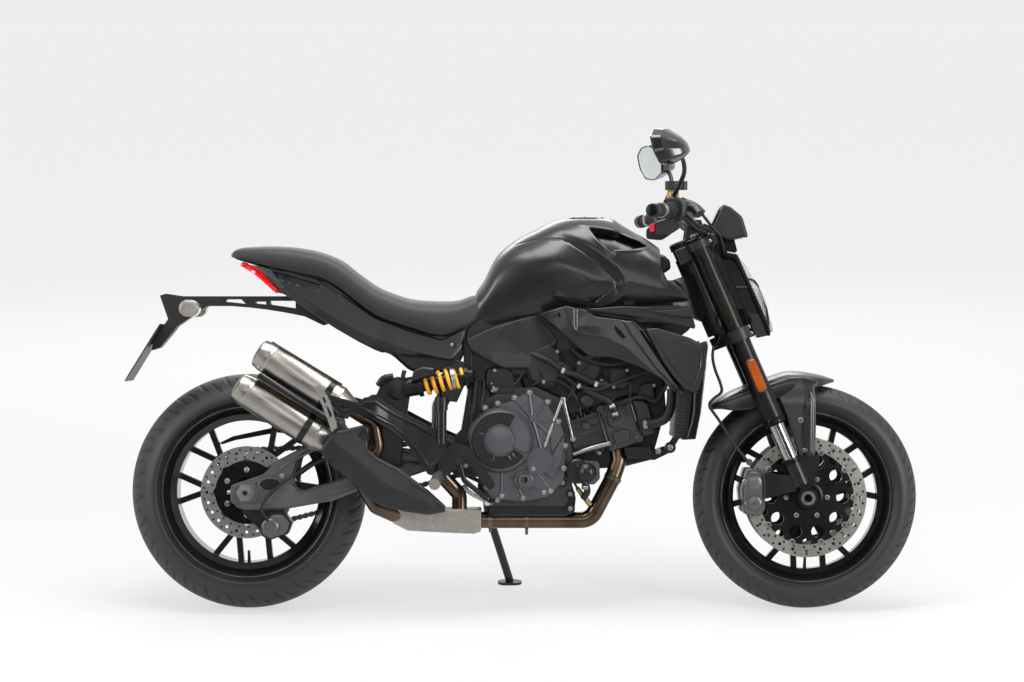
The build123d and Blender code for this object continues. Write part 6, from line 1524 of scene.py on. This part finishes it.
shell_rings = [(4, 0.90, 0), (0, 0.96, 0), (0, 1.0, 0), (5, 1.03, 0), (26, 0.93, -5), (27, 0.90, -6),
    (52, 0.58, -17), (62, 0.36, -22), (65, 0.12, -24)]
mirror_shell = closed(np.stack([mirror_ring(*ring) for ring in shell_rings]))
mirror_gloss = finish("gloss_black_mirror_shell", ("#121315", "#18191b"), 0.18, grain=5, relief=0.004,
    spread=0.03, coat=0.5)
stem = tube([(1132, -232, 1060), (1128, -236, 1092), (1144, -290, 1130), (1152, -330, 1156),
    (1148, -352, 1184), (1136, -362, 1200)], (6.5, 6, 5.5), 16, 7)
stem_nut = turned([(0, 12), (14, 12), (16, 9)], (1130, -233, 1072), (0, 0, 1), 6)
glass_rings = [(3.6, 0.93), (1.2, 0.935), (0.6, 0.90)]
mirror_silver = finish("silvered_mirror_glass", ("#cdd1d2", "#d6d9da"), 0.05, metal=1.0, grain=20, relief=0.0,
    spread=0.01)
mirror_glass = closed(np.stack([mirror_ring(d, s, 0) for d, s in glass_rings]))
build("mirror_shells", both_sides([mirror_shell]), mirror_gloss, "steering",
    ("mirror_housings",), sharp=22)
build("mirror_stems", both_sides([stem, stem_nut]), frame_black, "steering")
build("mirror_glass", both_sides([mirror_glass]), mirror_silver, "steering",
    ("mirror_glasses",))

# ---------------- tyres
# Radial road tyres of carbon-black rubber: slanted sipes cut into the shoulders of the tread, and a
# ribbed band low on the sidewall.


def tyre(hub, name, body, half, outer, crown, bead, repeats, node):
    """A tyre as a grid of 720 rows round the axle by 97 columns across. The section runs from bead to
    shoulder to crown. Where a point lies within a sipe, which is a stroke that slants across the tread and is
    repeated round it, half a pitch out of step left and right, the radius drops 2.6 mm."""
    quarter = half * 0.62
    quarter_r = outer - crown + np.sqrt(crown**2 - quarter**2)
    shoulder = outer - 0.72 * half
    side = [(bead, 217), (bead, 229), (bead + 0.35 * (half - bead), 236), (half * 0.985, shoulder - 8),
        (half, shoulder + 4), (half * 0.86, (shoulder + quarter_r) / 2 + 5), (quarter, quarter_r),
        (quarter / 2, outer - crown + np.sqrt(crown**2 - quarter**2 / 4)), (0, outer)]
    section = np.array(side + [(-y, r) for y, r in side[-2::-1]])
    section = through(section, 6)
    across, radius = section.T
    turn = np.linspace(0, 2 * np.pi, 720, endpoint=False)[:, None]
    out = np.abs(across) / half
    pitch = 2 * np.pi / repeats
    phase = (turn + np.where(across > 0, pitch / 2, 0) + 0.20 * pitch * np.sin(out * 3)) % pitch / pitch
    slant = 0.18 + 0.52 * (out - 0.18)
    width = 0.05
    strokes = (
        (phase - slant, 0.5, 1.5, 0.16, 0.22, 0.80, 0.72),
        (phase - slant - 0.42, 0.5, 1.3, 0.46, 0.52, 0.90, 0.84),
        (phase - slant * 0.6 - 0.72, 0.4, 1.2, 0.66, 0.72, 0.96, 0.90),
    )
    cuts = [(1 - smooth(width * full, width * none, np.abs(away))) * smooth(a, b, out) * smooth(c, d, out)
        for away, full, none, a, b, c, d in strokes]
    cut = np.maximum.reduce(cuts) * smooth(shoulder, shoulder + 8, radius)
    band = smooth(233, 236, radius) * smooth(258, 254, radius)
    rib = band * (0.5 + 0.5 * np.cos(turn * 180))
    lines = 0.9 * np.exp(-((radius - 233) / 1.3) ** 2) + 0.9 * np.exp(-((radius - 258) / 1.3) ** 2)
    r = radius - 2.6 * cut - 0.35 * rib + lines * 0.6
    y = across * (1 + 0.006 * (lines - 0.5 * rib))
    points = np.stack([hub[0] + r * np.sin(turn), y + 0 * turn, hub[1] + r * np.cos(turn)], axis=-1)
    piece = build(name, [outward(grid(points, round_rows=True, round_columns=True))], tyre_rubber,
        body, (node,), sharp=60)
    # Painted shade: the sipes are tinted near black, and the ribbed band a third of the way to black.
    mark(piece, "seam", np.maximum(cut, 0.35 * band + 0 * turn).ravel())


FRONT_HUB, REAR_HUB = (WHEELBASE, FRONT_AXLE_Z), (0, REAR_AXLE_Z)
REAR_BEAD = 70
REAR_DISC_FACE = 94.6
FRONT_DISC_FACE = 72.5
# Vulcanised rubber is a dull dark grey with a fine bloom; a new tread is a little browner and rougher.
tyre_rubber = paint("vulcanised_tyre_rubber", "#232324", "#2c2c2d", 0.52)
tune(shader_of(tyre_rubber)[1], Coat_Weight=0.0)
tyre(FRONT_HUB, "front_tyre_tread", "front_wheel", 60, 300, 62, 45, 30, "front_tyre")
tyre(REAR_HUB, "rear_tyre_tread", "rear_wheel", 90, 314, 95, REAR_BEAD, 28, "rear_tyre")

# ---------------- wheels and brakes
# Cast aluminium wheels in gloss black powder coat, with a thin machined line on each rim edge.
# Stainless discs are drilled and ground, on black anodised carriers with floating bobbins.
wheel_black = finish("gloss_black_powder_coat", ("#0f0f10", "#161617"), 0.24, grain=2.5, relief=0.008,
    spread=0.04, coat=0.35)
dress(wheel_black, "front_wheel_rim", "rear_wheel_rim")
line_grey = finish("machined_rim_line", ("#75767a", "#8e8f93"), 0.3, metal=1.0, grain=0.8, relief=0.005)
for x, z, body, edge in ((WHEELBASE, FRONT_AXLE_Z, "front_wheel", 50),
    (0, REAR_AXLE_Z, "rear_wheel", REAR_BEAD + 5)):
    turn = np.linspace(0, 2 * np.pi, 160, endpoint=False)[:, None]
    out, radius = np.array([(edge - 0.4, 227.4), (edge + 0.7, 228), (edge + 0.7, 225.4), (edge - 0.4, 226)]).T
    ring = np.stack([x + radius * np.cos(turn), 0 * turn - out, z + radius * np.sin(turn)], axis=-1)
    ring = outward(grid(ring, round_rows=True, round_columns=True))
    build(f"{body}_rim_line", both_sides([ring]), line_grey, body)
    valve = [tube([(x, -6, z - 196), (x, -14, z - 176), (x, -20, z - 160)], (5, 4, 3.6), 14, 3)]
    build(f"{body}_valve", valve, black_rubber, body)

# Ground steel, turned in fine rings: the streaks follow the disc round.
ground_steel = finish("ground_stainless_disc", ("#96948e", "#aaa8a1"), 0.34, metal=0.7, grain=2.5,
    relief=0.003, spread=0.05)
dress(ground_steel, "front_brake_discs")
worn_steel = finish("brushed_stainless_disc", ("#77787a", "#8c8d8f"), 0.38, metal=0.7, grain=2.5,
    relief=0.003, spread=0.05)
dress(worn_steel, "rear_brake_disc", "rear_sprocket")


def around(hub, y, radius, first, step):
    """Places round a wheel's hub at a sideways distance, one every step degrees from the first."""
    turns = np.radians(np.arange(first, 360 + first, step))
    return [(hub[0] + radius * np.cos(a), y, hub[1] + radius * np.sin(a)) for a in turns]


# Drilled holes between the through ones, as shallow eight-sided insets tinted black: painted shade inside
# them.
hole_shade_insets = [turned([(0, 3.6), (0.4, 3.4)], place, sides=8) for radius, first in ((133, 3), (151, 6))
    for place in around(FRONT_HUB, -FRONT_DISC_FACE, radius, first, 12)]
build("front_disc_hole_shade", both_sides(hole_shade_insets), black_rubber, "front_wheel")
hole_shade_insets = [turned([(0, 3.2), (0.4, 3.0)], place, sides=8) for radius, first in ((93, 3), (114, 9))
    for place in around(REAR_HUB, -REAR_DISC_FACE, radius, first, 15)]
build("rear_disc_hole_shade", hole_shade_insets, black_rubber, "rear_wheel")
bobbins, carriers = [], []
for y in (-70, 70):
    out = np.sign(y)
    bobbins += [turned([(-3.6, 9), (3.2, 9), (3.6, 7), (3.6, 4), (2.4, 3.6)], place, (0, out, 0), 18)
        for place in around(FRONT_HUB, y, 126, 0, 36)]
    carriers.append(turned([(-2, 46), (6, 44), (9, 38), (9, 30)], (WHEELBASE, y, FRONT_AXLE_Z), (0, out, 0),
        60))
build("front_disc_bobbins", bobbins, bolt_steel, "front_wheel")
build("front_disc_hub", carriers, anodised_black, "front_wheel")
hub_bolts = bolts(around(FRONT_HUB, -74, 55, 0, 60), 5, 5)
build("front_disc_bolts", both_sides(hub_bolts), bolt_steel, "front_wheel")
rear_carrier = [turned([(0, 84), (1.2, 83), (1.2, 40), (0, 39)], (0, -REAR_DISC_FACE, REAR_AXLE_Z), sides=90)]
build("rear_disc_carrier", rear_carrier, anodised_black, "rear_wheel")
rear_bolts = bolts(around(REAR_HUB, -REAR_DISC_FACE - 1, 60, 30, 60), 5.5, 5)
build("rear_disc_bolts", rear_bolts, bolt_steel, "rear_wheel")
dress(dark_cast, "rear_caliper")
piston = [
    turned([(0, 23), (4, 22), (6, 19), (6, 12), (4, 11)], (65, -130, 225), sides=48),
    plate([(44, 204), (66, 193), (108, 208), (118, 236), (100, 258), (66, 258), (40, 228)], 129, 122, 4, 60),
]
build("rear_caliper_relief", piston, caliper_grey)
rear_hose = [tube([(60, -134, 240), (44, -140, 280), (84, -136, 330), (160, -134, 380), (260, -132, 424),
    (380, -116, 446), (470, -104, 470)], 4, 12, 8)]
build("rear_brake_hose", rear_hose, black_rubber)
